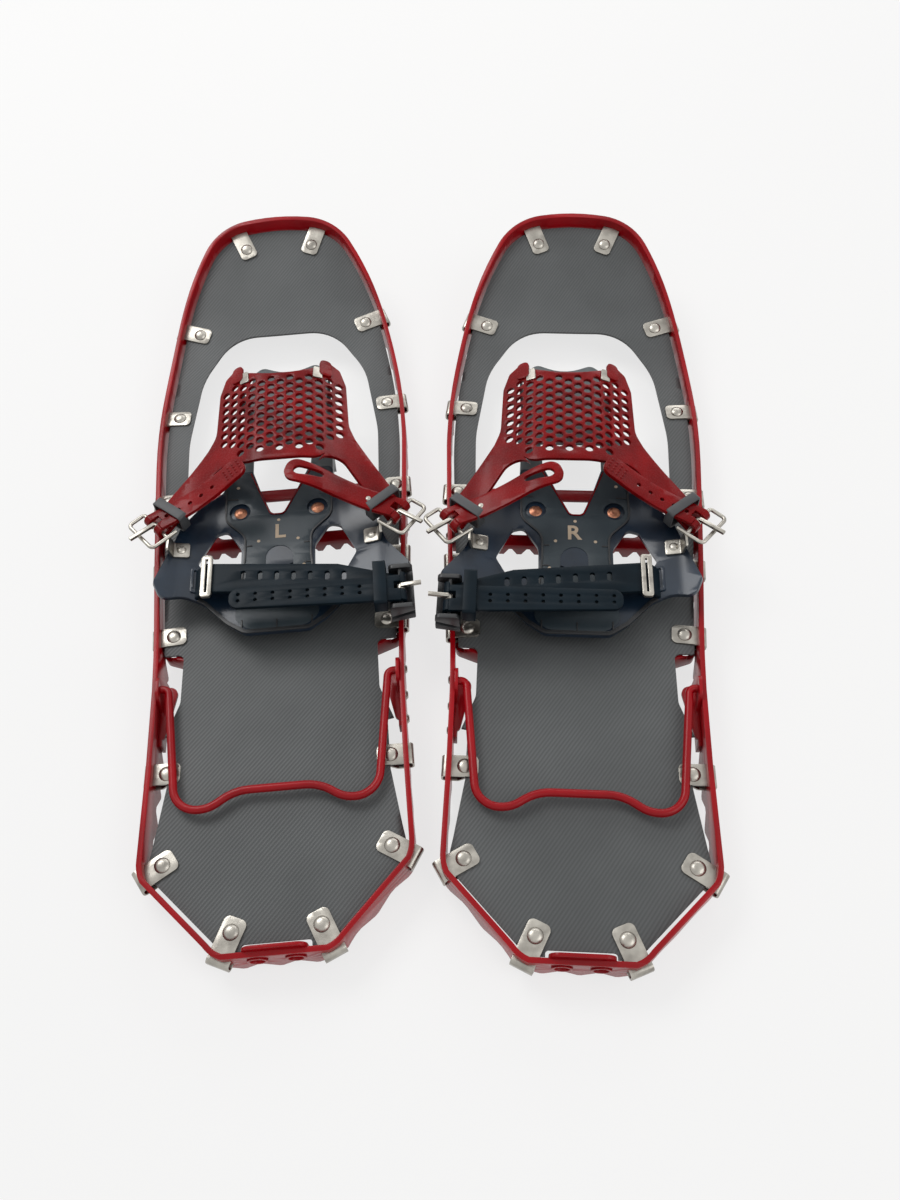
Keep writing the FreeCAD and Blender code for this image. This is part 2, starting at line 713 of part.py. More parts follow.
def forefoot_wrap():
    """Net and two arms in one moulding; each arm turns back at its buckle as a free end."""
    s = toe_shift
    inner = strap_outline(past_bar(medial_bar, medial_turn), (-47, 45), strap_width / 2)
    outer = strap_outline((38, 45), past_bar(lateral_bar, lateral_turn), strap_width / 2)
    net = [(s - 40, 112, 5), (s - 31, 119, 4), (s - 26, 109, 5), (s - 18, 106.5, 8), (s + 18, 106.5, 8),
           (s + 26, 109, 5), (s + 31, 119, 4), (s + 40, 112, 5), (s + 44, 98, 10), (s + 45, 60, 20),
           outer[0] + (8,), outer[1], outer[2], outer[3] + (12,), (20, 27, 12), (-32, 27, 12),
           inner[2] + (8,), inner[3], inner[0], inner[1] + (8,), (s - 45, 60, 20), (s - 44, 98, 10)]
    wrap = wrap_section(0, wrap_thickness).common(prism("plan", net, 0, 100))
    returns = wrap_section(strap_return, wrap_thickness)
    for bar, tip, turn in ((medial_bar, medial_tip, medial_turn), (lateral_bar, lateral_tip, lateral_turn)):
        ends = strap_outline(past_bar(bar, turn), tip, strap_width / 2 - 0.5)
        outline = [ends[0], ends[1] + (7,), ends[2] + (7,), ends[3]]
        free_end = returns.common(prism("plan", outline, 0, 100))
        wall = Part.makeBox(wrap_thickness, strap_width - 1, strap_return)
        gap = Part.makeBox(30, prong_ring_width + 2, 20, Vector(-4, -prong_ring_width / 2 - 1, -10))
        wall.translate(Vector(buckle_wire_radius + 0.3, -strap_width / 2 + 0.5, strap_level - bar_z))
        for piece in (wall, gap):
            piece.rotate(ORIGIN, Z, turn)
            piece.translate(Vector(bar[0], bar[1], bar_z))
        wrap = wrap.fuse([free_end, wall]).cut(gap)
    return wrap


def past_bar(bar, turn):
    """The far side of the strap's turn round a buckle's bar."""
    way = math.radians(turn)
    reach_past = buckle_wire_radius + 0.3 + wrap_thickness / 2
    return (bar[0] + reach_past * math.cos(way), bar[1] + reach_past * math.sin(way))


def strap_keeper(x, y, heading, z):
    """A moulded ring that the strap runs through, drawn across +X."""
    outer = prism("side", [(-12, -4.3, 2), (12, -4.3, 2), (12, 3.9, 2), (-12, 3.9, 2)], -3.2, 3.2)
    inner = prism("side", [(-10, -2.9), (10, -2.9), (10, 2.5), (-10, 2.5)], -5, 5)
    ring = outer.cut(inner)
    ring.rotate(ORIGIN, Z, heading)
    ring.translate(Vector(x, y, z))
    return ring


def buckle_frame(bar, turn, side):
    """A pressed loop, its bar that the strap turns round, and a bent anchor plate."""
    r = buckle_wire_radius
    loop = prism("plan", [(-r, -14.5, 1), (13.5, -14.5, 4), (13.5, 14.5, 4), (-7, 14.5, 2), (-7, 11),
                          (-r, 11)], -r, r)
    hole = prism("plan", [(-r, -12), (11, -12, 2), (11, 12, 2), (-r, 12)], -5, 5)
    frame = loop.cut(hole).fuse(rod(Vector(0, -12.5, 0), Vector(0, 12.5, 0), r))
    if side > 0:
        frame = frame.mirror(ORIGIN, Y)
    frame.rotate(ORIGIN, Z, turn)
    frame.translate(Vector(bar[0], bar[1], bar_z))
    plate = strip("front", [(57, 34.9), (67.2, 37.1, 2), (68.6, bar_z)], 1.5, -28, -17)
    if side < 0:
        plate = mirror_x(plate)
    return frame.fuse(plate).cut(wing_section())


def buckle_prong(bar, turn):
    """The prong: a ring round the middle bar and a tongue that rests on the loop's end."""
    ring = Part.makeCylinder(prong_ring_radius, prong_ring_width, Vector(0, -prong_ring_width / 2, 0), Y)
    bore = Part.makeCylinder(buckle_wire_radius + running_gap, 20, Vector(0, -10, 0), Y)
    rest = 2 * buckle_wire_radius + 0.1
    tongue = prism("side", [(-1.2, 1.6), (1.2, 1.6), (1.2, 3.6), (-1.2, 3.6)], 0.5, 19)
    tongue.rotate(Vector(0, 0, 1.6), Y, -math.degrees(math.atan((rest - 1.6) / 12)))
    prong = ring.fuse(tongue).cut(bore)
    prong.rotate(ORIGIN, Z, turn)
    prong.translate(Vector(bar[0], bar[1], bar_z))
    return prong


# ---- Binding: heel strap ----------------------------------------------------------------------
def heel_strap():
    """One strap: from the lateral wing across, round the heel buckle's bar and back on top."""
    t = strap_thickness
    low = strip("front", [(51, 33.6), (44, 41.5, 3), (-84, heel_level)], t, -100, -30)
    low = low.common(prism("plan", [(53, -38.5), (-40, -49), (-84, -64), (-84, -84), (-42, -70),
                                    (53, -59.5)], 0, 100))
    top = strip("front", [(-84, heel_level + heel_return), (26.5, heel_level + heel_return - 1)],
                t, -100, -30)
    top = top.common(prism("plan", [(-84, -65.5), (26.5, -65, 6), (26.5, -79, 6), (-84, -84)], 0, 100))
    turn = Part.makeBox(t, 18.5, heel_return, Vector(-84, -84, heel_level))
    middle = (heel_buckle_y[0] + heel_buckle_y[1]) / 2
    gap = Part.makeBox(16, prong_ring_width + 2, 20, Vector(-90, middle - prong_ring_width / 2 - 1, 40))
    return low.fuse([top, turn]).cut(gap)


def heel_buckle():
    """A moulded cradle on the inner wing: floor, two cheeks and the bar between them."""
    x0, x1 = heel_bar_x - 8, heel_bar_x + 7
    back, front = heel_buckle_y
    block = prism("front", [(x0, 36, 1), (x1, 33), (x1, heel_bar_z + 3, 3), (x0, heel_bar_z + 3, 3)],
                  back, front)
    hollow = Part.makeBox(40, front - back - 6, 20, Vector(x0 - 10, back + 3, heel_level - 1.5))
    block = block.cut([hollow, wing_section()])
    bar = rod(Vector(heel_bar_x, back + 2, heel_bar_z), Vector(heel_bar_x, front - 2, heel_bar_z),
              buckle_wire_radius)
    return block.fuse(bar)


def heel_prong():
    prong = buckle_prong((0, 0), 180)
    prong.translate(Vector(heel_bar_x, (heel_buckle_y[0] + heel_buckle_y[1]) / 2, heel_bar_z - bar_z))
    return prong


def heel_strap_keeper():
    """A moulded ring beside the buckle; the strap's lower layer rests on its floor."""
    x0, x1 = heel_keeper_x
    bottom = heel_level - strap_thickness / 2 - strap_fall
    top = bottom + heel_return + strap_thickness + 1
    wall = heel_keeper_wall
    back, front = heel_keeper_y
    ring = prism("side", [(back - wall, bottom - wall, 2), (front + wall, bottom - wall, 2),
                          (front + wall, top + wall, 2), (back - wall, top + wall, 2)], x0, x1)
    return ring.cut(prism("side", [(back, bottom), (front, bottom), (front, top), (back, top)], x0, x1))


def heel_strap_slide():
    """A bar buckle that holds the strap's outer end to the lateral wing."""
    outer = prism("plan", [(39, -35, 2), (46, -35, 2), (46, -66, 2), (39, -66, 2)], 42.9, 45.4)
    return outer.cut(prism("plan", [(41.8, -38), (43.2, -38), (43.2, -63), (41.8, -63)], 40, 50))


def base_anchor_rivets():
    """Rivets through the anchor plates of the two forefoot buckles."""
    head = rivet_head(anchor_rivet_radius, base_rivet_height)
    head.rotate(ORIGIN, Y, -wing_slope)
    head.translate(Vector(62, -22.5, 36.85))
    return pair(head)


# ---- The pair ------------------------------------------------------------------------------------
def shoe_pieces():
    """Every piece of the right shoe, by the name of its node."""
    lateral_arm = (lateral_bar[0] - 9.4, lateral_bar[1] + 13)
    medial_arm = (medial_bar[0] + 9.9, medial_bar[1] + 17.1)
    return {
        "frame_blade": frame_blade(),
        "tail_splice_plate": tail_splice_plate(),
        "band_rivets_and_eyelets": band_rivets(),
        "front_cross_member": front_cross_member(),
        "rear_cross_member": rear_cross_member(),
        "deck": deck(),
        "deck_clips": deck_clips(),
        "deck_rivets": deck_rivets(),
        "lifter_brackets": lifter_brackets(),
        "heel_lifter_bail": heel_lifter_bail(),
        "pivot_pins": pivot_pins(),
        "pivot_bushings": pivot_bushings(),
        "crampon_plate": crampon_plate(),
        "base_plate": base_plate(),
        "base_rivets": base_rivets(),
        "forefoot_wrap": forefoot_wrap(),
        "medial_keeper": strap_keeper(medial_arm[0], medial_arm[1], 60, 44.1),
        "lateral_keeper": strap_keeper(lateral_arm[0], lateral_arm[1], 126, 44.1),
        "medial_buckle": buckle_frame(medial_bar, medial_turn, -1),
        "lateral_buckle": buckle_frame(lateral_bar, lateral_turn, 1),
        "medial_prong": buckle_prong(medial_bar, medial_turn),
        "lateral_prong": buckle_prong(lateral_bar, lateral_turn),
        "buckle_rivets": base_anchor_rivets(),
        "heel_strap": heel_strap(),
        "heel_buckle": heel_buckle(),
        "heel_prong": heel_prong(),
        "heel_strap_keeper": heel_strap_keeper(),
        "heel_strap_slide": heel_strap_slide()}


def place(shape, side):
    """Put a piece of the right shoe, or its mirror image for the left, in the pair's frame."""
    sign = 1 if side == "right" else -1
    if side == "left":
        shape = mirror_x(shape)
    shape = shape.copy()
    shape.rotate(ORIGIN, Z, -sign * toe_out)
    shape.translate(Vector(sign * shoe_spacing / 2, -sign * shoe_stagger, 0))
    return shape


def main():
    os.makedirs("parts", exist_ok=True)
    for name, shape in shoe_pieces().items():
        for side in ("right", "left"):
            place(shape, side).exportStep(f"parts/{side}_{name}.step")


main()
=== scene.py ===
import json
import math

import bmesh
import bpy
import numpy as np
from mathutils import Matrix, Vector, noise
from mathutils.bvhtree import BVHTree

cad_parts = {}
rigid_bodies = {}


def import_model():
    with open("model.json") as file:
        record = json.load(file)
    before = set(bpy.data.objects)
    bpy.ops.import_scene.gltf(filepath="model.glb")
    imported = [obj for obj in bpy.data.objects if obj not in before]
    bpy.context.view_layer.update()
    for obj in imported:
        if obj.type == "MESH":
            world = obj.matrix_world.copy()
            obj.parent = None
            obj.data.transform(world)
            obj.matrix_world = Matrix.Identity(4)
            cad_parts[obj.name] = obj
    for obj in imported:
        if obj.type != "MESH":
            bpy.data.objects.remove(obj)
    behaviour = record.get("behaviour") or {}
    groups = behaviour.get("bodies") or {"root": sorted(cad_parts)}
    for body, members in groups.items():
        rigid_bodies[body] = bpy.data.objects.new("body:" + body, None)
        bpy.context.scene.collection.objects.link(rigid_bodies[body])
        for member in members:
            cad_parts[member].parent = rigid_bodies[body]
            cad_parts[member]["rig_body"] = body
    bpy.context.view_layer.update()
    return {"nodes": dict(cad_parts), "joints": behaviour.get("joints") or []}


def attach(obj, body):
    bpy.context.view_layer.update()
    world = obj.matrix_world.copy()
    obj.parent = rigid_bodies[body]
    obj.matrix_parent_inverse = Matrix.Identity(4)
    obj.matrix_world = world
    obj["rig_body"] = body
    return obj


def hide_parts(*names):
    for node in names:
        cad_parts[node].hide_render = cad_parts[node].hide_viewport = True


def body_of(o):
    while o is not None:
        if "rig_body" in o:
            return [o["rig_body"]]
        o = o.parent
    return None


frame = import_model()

# A pair of snowshoes. Shapes are drawn once, in millimetres, in the right shoe's own frame: +Y to
# the toe, +X to the outer side of the foot, +Z up. The left shoe is the mirror image.

MM = 0.001
SIDES = ("left", "right")

# ---- Sizes shared by several pieces, in millimetres ----
pivot_y = 38                # where the binding's hinge lies in the shoe's frame
pivot_z = 18
base_top = 31
strap_width = 17
strap_thickness = 2.4
strap_return = 7            # a folded-back end above its strap
notch_half = 2.7            # the strap is notched for its prong's ring
notch_depth = 4
toe_shift = -5.5            # the front of the binding leans to the inner side of the foot
medial_bar = (-81, -14)     # middle of each buckle's bar, and the way its loop points
medial_turn = -140
lateral_bar = (77, -9)
lateral_turn = -40
bar_z = 46.4
lifter_y = -117
lifter_z = 23
mirror = Matrix.Diagonal((-1, 1, 1, 1))     # to the other side of a shoe's middle
buckle_wire = 1.3           # half the thickness of a buckle's wire


# ---- Placing ----
def shoe_frame(side):
    """From a shoe's own millimetres to the row frame, found from its binding's hinge."""
    joint = next(j for j in frame["joints"] if j["name"] == side + "_binding_pivot")
    axis = Vector(joint["axis"])
    outward = -axis if side == "right" else axis
    up = Vector((0, 0, 1))
    forward = up.cross(outward) if side == "right" else outward.cross(up)
    origin = Vector(joint["pos_m"]) - (forward * pivot_y + up * pivot_z) * MM
    matrix = Matrix.Identity(4)
    for column, way in enumerate((outward, forward, up)):
        for row in range(3):
            matrix[row][column] = way[row] * MM
    matrix.translation = origin
    return matrix


def moved(mesh, matrix):
    """A copy of a mesh, placed, with its faces still outwards where the matrix mirrors it."""
    mesh = mesh.copy()
    mesh.transform(matrix)
    if matrix.determinant() < 0:
        mesh.flip_normals()
    return mesh


def dressed(name, mesh, material, body, replaced, smooth):
    """A piece of the object: a placed mesh with its material, edges, body and CAD nodes."""
    mesh.materials.clear()
    mesh.materials.append(material)
    piece = bpy.data.objects.new(name, mesh)
    bpy.context.scene.collection.objects.link(piece)
    mesh.shade_smooth()
    mesh.set_sharp_from_angle(angle=math.radians(smooth))
    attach(piece, body)
    if replaced:
        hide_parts(*replaced)
    return piece


def finished(name, side, mesh, material, body, replaces=(), smooth=40):
    """A piece of one shoe, from a mesh drawn in the right shoe's millimetres."""
    return dressed(f"{side}_{name}", moved(mesh, shoe_frame(side)), material, f"{side}_{body}",
                   [f"{side}_{node}" for node in replaces], smooth)


def on_both(name, mesh, material, body, replaces=(), smooth=40):
    for side in SIDES:
        finished(name, side, mesh, material, body, replaces, smooth)


# ---- Materials ----
def linear(hex_colour):
    """An sRGB hex colour as linear red, green, blue and alpha."""
    channels = [int(hex_colour[i:i + 2], 16) / 255 for i in (0, 2, 4)]
    return tuple(c / 12.92 if c <= 0.04045 else ((c + 0.055) / 1.055) ** 2.4 for c in channels) + (1,)


def add(tree, kind, inputs=(), **settings):
    """A node with its settings, and its inputs as values or as links from other sockets."""
    node = tree.nodes.new(kind)
    for name, value in settings.items():
        setattr(node, name, value)
    for key, value in dict(inputs).items():
        if isinstance(value, bpy.types.NodeSocket):
            tree.links.new(value, node.inputs[key])
        else:
            node.inputs[key].default_value = value
    return node


def new_material(name):
    """A material with an empty node tree, and that tree."""
    made = bpy.data.materials.new(name)
    made.use_nodes = True
    made.node_tree.nodes.clear()
    return made, made.node_tree


def drifting(tree, place, width_mm, dark, light):
    """A colour that drifts between two shades, in patches of a given width."""
    drift = add(tree, "ShaderNodeTexNoise", {"Vector": place, "Scale": 1 / (width_mm * MM), "Detail": 3})
    share = add(tree, "ShaderNodeMapRange", {"Value": drift.outputs["Fac"], "From Min": 0.3, "From Max": 0.7})
    mix = add(tree, "ShaderNodeMix", {
        "Factor": share.outputs["Result"], "A": linear(dark), "B": linear(light)}, data_type="RGBA")
    return mix.outputs["Result"]


def finish(name, dark, light, roughness, drift_mm=22, grain_mm=1.0, depth_mm=0.02, **shader):
    """A finish that drifts between two shades, with a fine grain in its gloss and its relief.

    drift_mm is how wide the patches of each shade are, grain_mm how wide the grain is.
    """
    made, tree = new_material(name)
    place = add(tree, "ShaderNodeTexCoord").outputs["Object"]
    colour = drifting(tree, place, drift_mm, dark, light)
    grain = add(tree, "ShaderNodeTexNoise", {"Vector": place, "Scale": 1 / (grain_mm * MM), "Detail": 3})
    gloss = add(tree, "ShaderNodeMapRange", {
        "Value": grain.outputs["Fac"], "To Min": roughness[0], "To Max": roughness[1]})
    relief = add(tree, "ShaderNodeBump", {
        "Height": grain.outputs["Fac"], "Distance": depth_mm * MM, "Strength": 0.5})
    inputs = {key.replace("_", " "): value for key, value in shader.items()}
    surface = add(tree, "ShaderNodeBsdfPrincipled", {
        "Base Color": colour, "Roughness": gloss.outputs["Result"],
        "Normal": relief.outputs["Normal"], **inputs})
    add(tree, "ShaderNodeOutputMaterial", {"Surface": surface.outputs["BSDF"]})
    return made


def deck_cloth():
    """Coated nylon twill: slanting ribs under a satin film, so it is dark grey with a low even shine.

    The real ribs are about 1 mm apart. They are drawn 2 mm apart, so that they show.
    """
    rib_pitch = 2
    made, tree = new_material("coated_nylon_twill")
    place = add(tree, "ShaderNodeTexCoord").outputs["Object"]
    turned = add(tree, "ShaderNodeMapping", {"Vector": place, "Rotation": (0, 0, math.radians(38))})
    ribs = add(tree, "ShaderNodeTexWave", {
        "Vector": turned.outputs["Vector"], "Scale": 2 * math.pi / 20 / (rib_pitch * MM),
        "Distortion": 0.4, "Detail": 1.0}, bands_direction="X")
    cloth = drifting(tree, place, 60, "4C4E4E", "5A5C5C")
    valley = add(tree, "ShaderNodeMapRange", {"Value": ribs.outputs["Fac"], "To Min": 0.0, "To Max": 0.36})
    colour = add(tree, "ShaderNodeMix", {
        "Factor": valley.outputs["Result"], "A": cloth, "B": linear("2E3030")}, data_type="RGBA")
    gloss = add(tree, "ShaderNodeMapRange", {"Value": ribs.outputs["Fac"], "To Min": 0.42, "To Max": 0.6})
    relief = add(tree, "ShaderNodeBump", {
        "Height": ribs.outputs["Fac"], "Distance": 0.12 * MM, "Strength": 0.6})
    surface = add(tree, "ShaderNodeBsdfPrincipled", {
        "Base Color": colour.outputs["Result"], "Roughness": gloss.outputs["Result"],
        "Normal": relief.outputs["Normal"], "Sheen Weight": 0.1, "Specular IOR Level": 0.35})
    add(tree, "ShaderNodeOutputMaterial", {"Surface": surface.outputs["BSDF"]})
    return made


# Red powder coat on aluminium: a deep even red, satin to glossy, with a fine orange peel.
red_coat = finish("powder_coated_aluminium", "86020C", "A20512", (0.24, 0.4), drift_mm=40, grain_mm=1.2,
                  depth_mm=0.03, Specular_IOR_Level=0.2, Coat_Weight=0.08, Coat_Roughness=0.15)
# Stainless strip and rivets, tumbled: a warm grey metal, soft in its shine, with fine rub marks.
steel = finish("tumbled_stainless_steel", "8A867F", "B5B1A8", (0.22, 0.44), drift_mm=9, grain_mm=0.8,
               Metallic=1.0)
# Crampon steel under a thin dark coat: flat grey, a little rough where it was pickled.
dark_steel = finish("dark_coated_steel", "3E4344", "52585A", (0.42, 0.6), drift_mm=14, grain_mm=0.7,
                    depth_mm=0.04, Metallic=0.25)
# Copper rivets, left bare: pinkish brown metal, dulled in patches by handling.
copper = finish("dull_copper", "8C5A48", "BC8669", (0.3, 0.5), drift_mm=3, grain_mm=0.6, depth_mm=0.01,
                Metallic=1.0)
deck_twill = deck_cloth()
# Moulded thermoplastic of the binding's base: dark navy, glossy and a little soft to the light.
navy_base = finish("navy_thermoplastic_base", "0A1724", "162636", (0.24, 0.38), depth_mm=0.015,
                   Specular_IOR_Level=0.35, Coat_Weight=0.2, Coat_Roughness=0.2)
# The same base over its steel plate, where it looks smoky and greyer.
navy_centre = finish("smoky_thermoplastic_panel", "232D33", "30393E", (0.32, 0.46), Specular_IOR_Level=0.35)
# Urethane straps: near black navy, satin, with a soft moulded skin.
navy_strap = finish("navy_urethane_strap", "08131A", "101D25", (0.32, 0.46), Specular_IOR_Level=0.1)
# Clear red urethane of the wrap: light goes a little way in, so its edges and thin webs glow.
red_net = finish("red_urethane_net", "640205", "860408", (0.2, 0.34), depth_mm=0.015, Subsurface_Weight=0.1,
                 Subsurface_Scale=0.002, Specular_IOR_Level=0.1, Coat_Weight=0.08, Coat_Roughness=0.12)
# Injection-moulded nylon keepers: dark grey, with the dull sheen of a spark-eroded mould.
grey_nylon = finish("dark_grey_nylon", "313234", "414244", (0.44, 0.58), depth_mm=0.04)
# Injection-moulded black nylon of the heel buckle and the bushings; the black strips beside the base's middle
# panel use it as painted shade.
black_nylon = finish("black_nylon", "141517", "202123", (0.36, 0.5), depth_mm=0.04)
# Beige pad-printed letters, and the pale colour of small raised dots on the base, which is painted highlight.
pale_mark = finish("beige_print", "AD9A83", "C0AD97", (0.54, 0.68), Specular_IOR_Level=0.3)


# ---- Making meshes ----
def plain(piece):
    """The evaluated mesh of a passing object, which is then removed."""
    graph = bpy.context.evaluated_depsgraph_get()
    graph.update()
    mesh = bpy.data.meshes.new_from_object(piece.evaluated_get(graph))
    bpy.data.objects.remove(piece)
    return mesh


def passing(mesh):
    piece = bpy.data.objects.new("passing", mesh)
    bpy.context.scene.collection.objects.link(piece)
    return piece


def joined(meshes):
    shape = bmesh.new()
    for mesh in meshes:
        shape.from_mesh(mesh)
    whole = bpy.data.meshes.new("joined")
    shape.to_mesh(whole)
    shape.free()
    return whole


def new_tree(name, sizes):
    """An empty Geometry Nodes tree with named inputs, and its input sockets."""
    tree = bpy.data.node_groups.new(name, "GeometryNodeTree")
    tree.interface.new_socket("Geometry", in_out="INPUT", socket_type="NodeSocketGeometry")
    for label, kind in sizes.items():
        tree.interface.new_socket(label, in_out="INPUT", socket_type="NodeSocket" + kind)
    tree.interface.new_socket("Geometry", in_out="OUTPUT", socket_type="NodeSocketGeometry")
    return tree, add(tree, "NodeGroupInput").outputs


def made_by(tree, mesh, sizes):
    """What a tree makes of a mesh, as a plain mesh."""
    piece = passing(mesh)
    modifier = piece.modifiers.new(tree.name, "NODES")
    modifier.node_group = tree
    for socket in tree.interface.items_tree:
        if socket.in_out == "INPUT" and socket.name in sizes:
            modifier[socket.identifier] = sizes[socket.name]
    return plain(piece)


def closed_tree(tree, geometry, material):
    """Makes a tree's instances real, gives them their material and ends the tree."""
    solid = add(tree, "GeometryNodeRealizeInstances", {"Geometry": geometry})
    done = add(tree, "GeometryNodeSetMaterial", {
        "Geometry": solid.outputs["Geometry"], "Material": material})
    add(tree, "NodeGroupOutput", {"Geometry": done.outputs["Geometry"]})
    return tree


def punching_tree():
    """Fills closed outlines and leaves a round hole at each point marked as a perforation."""
    tree, given = new_tree("punched_sheet", {
        "Hole Radius": "Float", "Hole Sides": "Int", "Finish": "Material"})
    marked = add(tree, "GeometryNodeInputNamedAttribute", {"Name": "perforation"}, data_type="BOOLEAN")
    centres = add(tree, "GeometryNodeMeshToPoints", {
        "Mesh": given["Geometry"], "Selection": marked.outputs["Attribute"]})
    circle = add(tree, "GeometryNodeCurvePrimitiveCircle", {
        "Resolution": given["Hole Sides"], "Radius": given["Hole Radius"]})
    rims = add(tree, "GeometryNodeInstanceOnPoints", {
        "Points": centres.outputs["Points"], "Instance": circle.outputs["Curve"]})
    loose = add(tree, "GeometryNodeRealizeInstances", {"Geometry": rims.outputs["Instances"]})
    outlines = add(tree, "GeometryNodeMeshToCurve", {"Mesh": given["Geometry"]})
    both = add(tree, "GeometryNodeJoinGeometry", {"Geometry": outlines.outputs["Curve"]})
    tree.links.new(loose.outputs["Geometry"], both.inputs["Geometry"])
    sheet = add(tree, "GeometryNodeFillCurve", {"Curve": both.outputs["Geometry"]}, mode="TRIANGLES")
    return closed_tree(tree, sheet.outputs["Mesh"], given["Finish"])


def riveting_tree():
    """Sets a rivet's head of a given radius and height at each point, turned as the point says."""
    tree, given = new_tree("rivet_heads", {
        "Head": "Object", "Radius": "Float", "Height": "Float", "Finish": "Material"})
    places = add(tree, "GeometryNodeMeshToPoints", {"Mesh": given["Geometry"]})
    turn = add(tree, "GeometryNodeInputNamedAttribute", {"Name": "turn"}, data_type="FLOAT_VECTOR")
    facing = add(tree, "FunctionNodeEulerToRotation", {"Euler": turn.outputs["Attribute"]})
    size = add(tree, "ShaderNodeCombineXYZ", {
        "X": given["Radius"], "Y": given["Radius"], "Z": given["Height"]})
    head = add(tree, "GeometryNodeObjectInfo", {"Object": given["Head"], "As Instance": True})
    heads = add(tree, "GeometryNodeInstanceOnPoints", {
        "Points": places.outputs["Points"], "Instance": head.outputs["Geometry"],
        "Rotation": facing.outputs["Rotation"], "Scale": size.outputs["Vector"]})
    return closed_tree(tree, heads.outputs["Instances"], given["Finish"])


punching = punching_tree()
riveting = riveting_tree()


def rounded(corners, closed=True, step=12):
    """Points along an outline whose corners are (x, y) or (x, y, radius), an arc point every step."""
    points = []
    count = len(corners)
    for i, corner in enumerate(corners):
        here = Vector(corner[:2])
        radius = corner[2] if len(corner) > 2 else 0
        if radius == 0 or (not closed and i in (0, count - 1)):
            points.append(here)
            continue
        into = (here - Vector(corners[i - 1][:2])).normalized()
        out = (Vector(corners[(i + 1) % count][:2]) - here).normalized()
        turn = math.atan2(into.x * out.y - into.y * out.x, into.dot(out))
        if abs(turn) < 0.01:
            points.append(here)
            continue
        start = here - into * radius * math.tan(abs(turn) / 2)
        centre = start + Vector((-into.y, into.x)) * math.copysign(radius, turn)
        steps = max(2, math.ceil(abs(math.degrees(turn)) / step))
        for k in range(steps + 1):
            points.append(centre + Matrix.Rotation(turn * k / steps, 2) @ (start - centre))
    return points


def turned_over(corners):
    """The same corners on the other side of the middle, in the order that carries an outline on."""
    return [(-corner[0],) + tuple(corner[1:]) for corner in reversed(corners)]


def raised(line, rise):
    """A line of corners moved up."""
    return [(corner[0], corner[1] + rise) + tuple(corner[2:]) for corner in line]


def pattern(outline, windows=(), holes=(), hole_radius=2.4):
    """A flat sheet, cut to a rounded outline with windows and round holes."""
    vertices = []
    edges = []
    for corners in [outline] + list(windows):
        first = len(vertices)
        loop = rounded(corners)
        vertices += [(point.x, point.y, 0) for point in loop]
        edges += [(first + i, first + (i + 1) % len(loop)) for i in range(len(loop))]
    outline_count = len(vertices)
    vertices += [(x, y, 0) for x, y in holes]
    mesh = bpy.data.meshes.new("pattern")
    mesh.from_pydata(vertices, edges, [])
    marks = mesh.attributes.new("perforation", "BOOLEAN", "POINT")
    marks.data.foreach_set("value", [i >= outline_count for i in range(len(vertices))])
    return made_by(punching, mesh, {"Hole Radius": hole_radius, "Hole Sides": 12, "Finish": steel})


def finished_edges(mesh, thickness, edge):
    """A sheet given its thickness about its middle, and rounded edges."""
    piece = passing(mesh)
    if thickness:
        wall = piece.modifiers.new("wall", "SOLIDIFY")
        wall.thickness = thickness
        wall.offset = 0
        wall.use_even_offset = True
    if edge:
        rounding = piece.modifiers.new("edge", "BEVEL")
        rounding.width = edge
        rounding.segments = 2
        rounding.limit_method = "ANGLE"
        rounding.angle_limit = math.radians(40)
    return plain(piece)


def run_length(line):
    """The length of a line of rounded corners."""
    path = rounded(line, closed=False, step=3)
    return sum((after - before).length for before, after in zip(path, path[1:]))


def cut_at(shape, axis, station, nearest):
    """Cuts every face that crosses a plane, which stands across an axis at a station."""
    way = Vector([float(i == axis) for i in range(3)])
    bmesh.ops.bisect_plane(shape, geom=shape.verts[:] + shape.edges[:] + shape.faces[:], dist=nearest,
                           plane_co=way * station, plane_no=way)


def bent(sheet, line, thickness, edge=0.4, along=False, cell=5):
    """A flat sheet bent in X and Z along a line of corners, (x, z) or (x, z, radius).

    Its x is a place on the line, measured across or, if along is set, by the line's length. The sheet is
    cut into strips, cell wide, the other way, so that the bend's highlights run evenly.
    """
    path = rounded(line, closed=False, step=3)
    if along:
        stations = [0.0]
        for before, after in zip(path, path[1:]):
            stations.append(stations[-1] + (after - before).length)
    else:
        stations = [point.x for point in path]
    shape = bmesh.new()
    shape.from_mesh(sheet)
    bmesh.ops.remove_doubles(shape, verts=shape.verts, dist=0.001)
    for station in stations:
        cut_at(shape, 0, station, 0.001)
    depths = [vertex.co.y for vertex in shape.verts]
    for depth in np.arange(min(depths) + cell, max(depths), cell):
        cut_at(shape, 1, depth, 0.001)
    bmesh.ops.triangulate(shape, faces=shape.faces[:])
    for face in shape.faces:
        if face.normal.z < 0:
            face.normal_flip()
    for vertex in shape.verts:
        place = vertex.co.x
        vertex.co.x = np.interp(place, stations, [point.x for point in path])
        vertex.co.z = np.interp(place, stations, [point.y for point in path])
    mesh = bpy.data.meshes.new("bent")
    shape.to_mesh(mesh)
    shape.free()
    return finished_edges(mesh, thickness, edge)


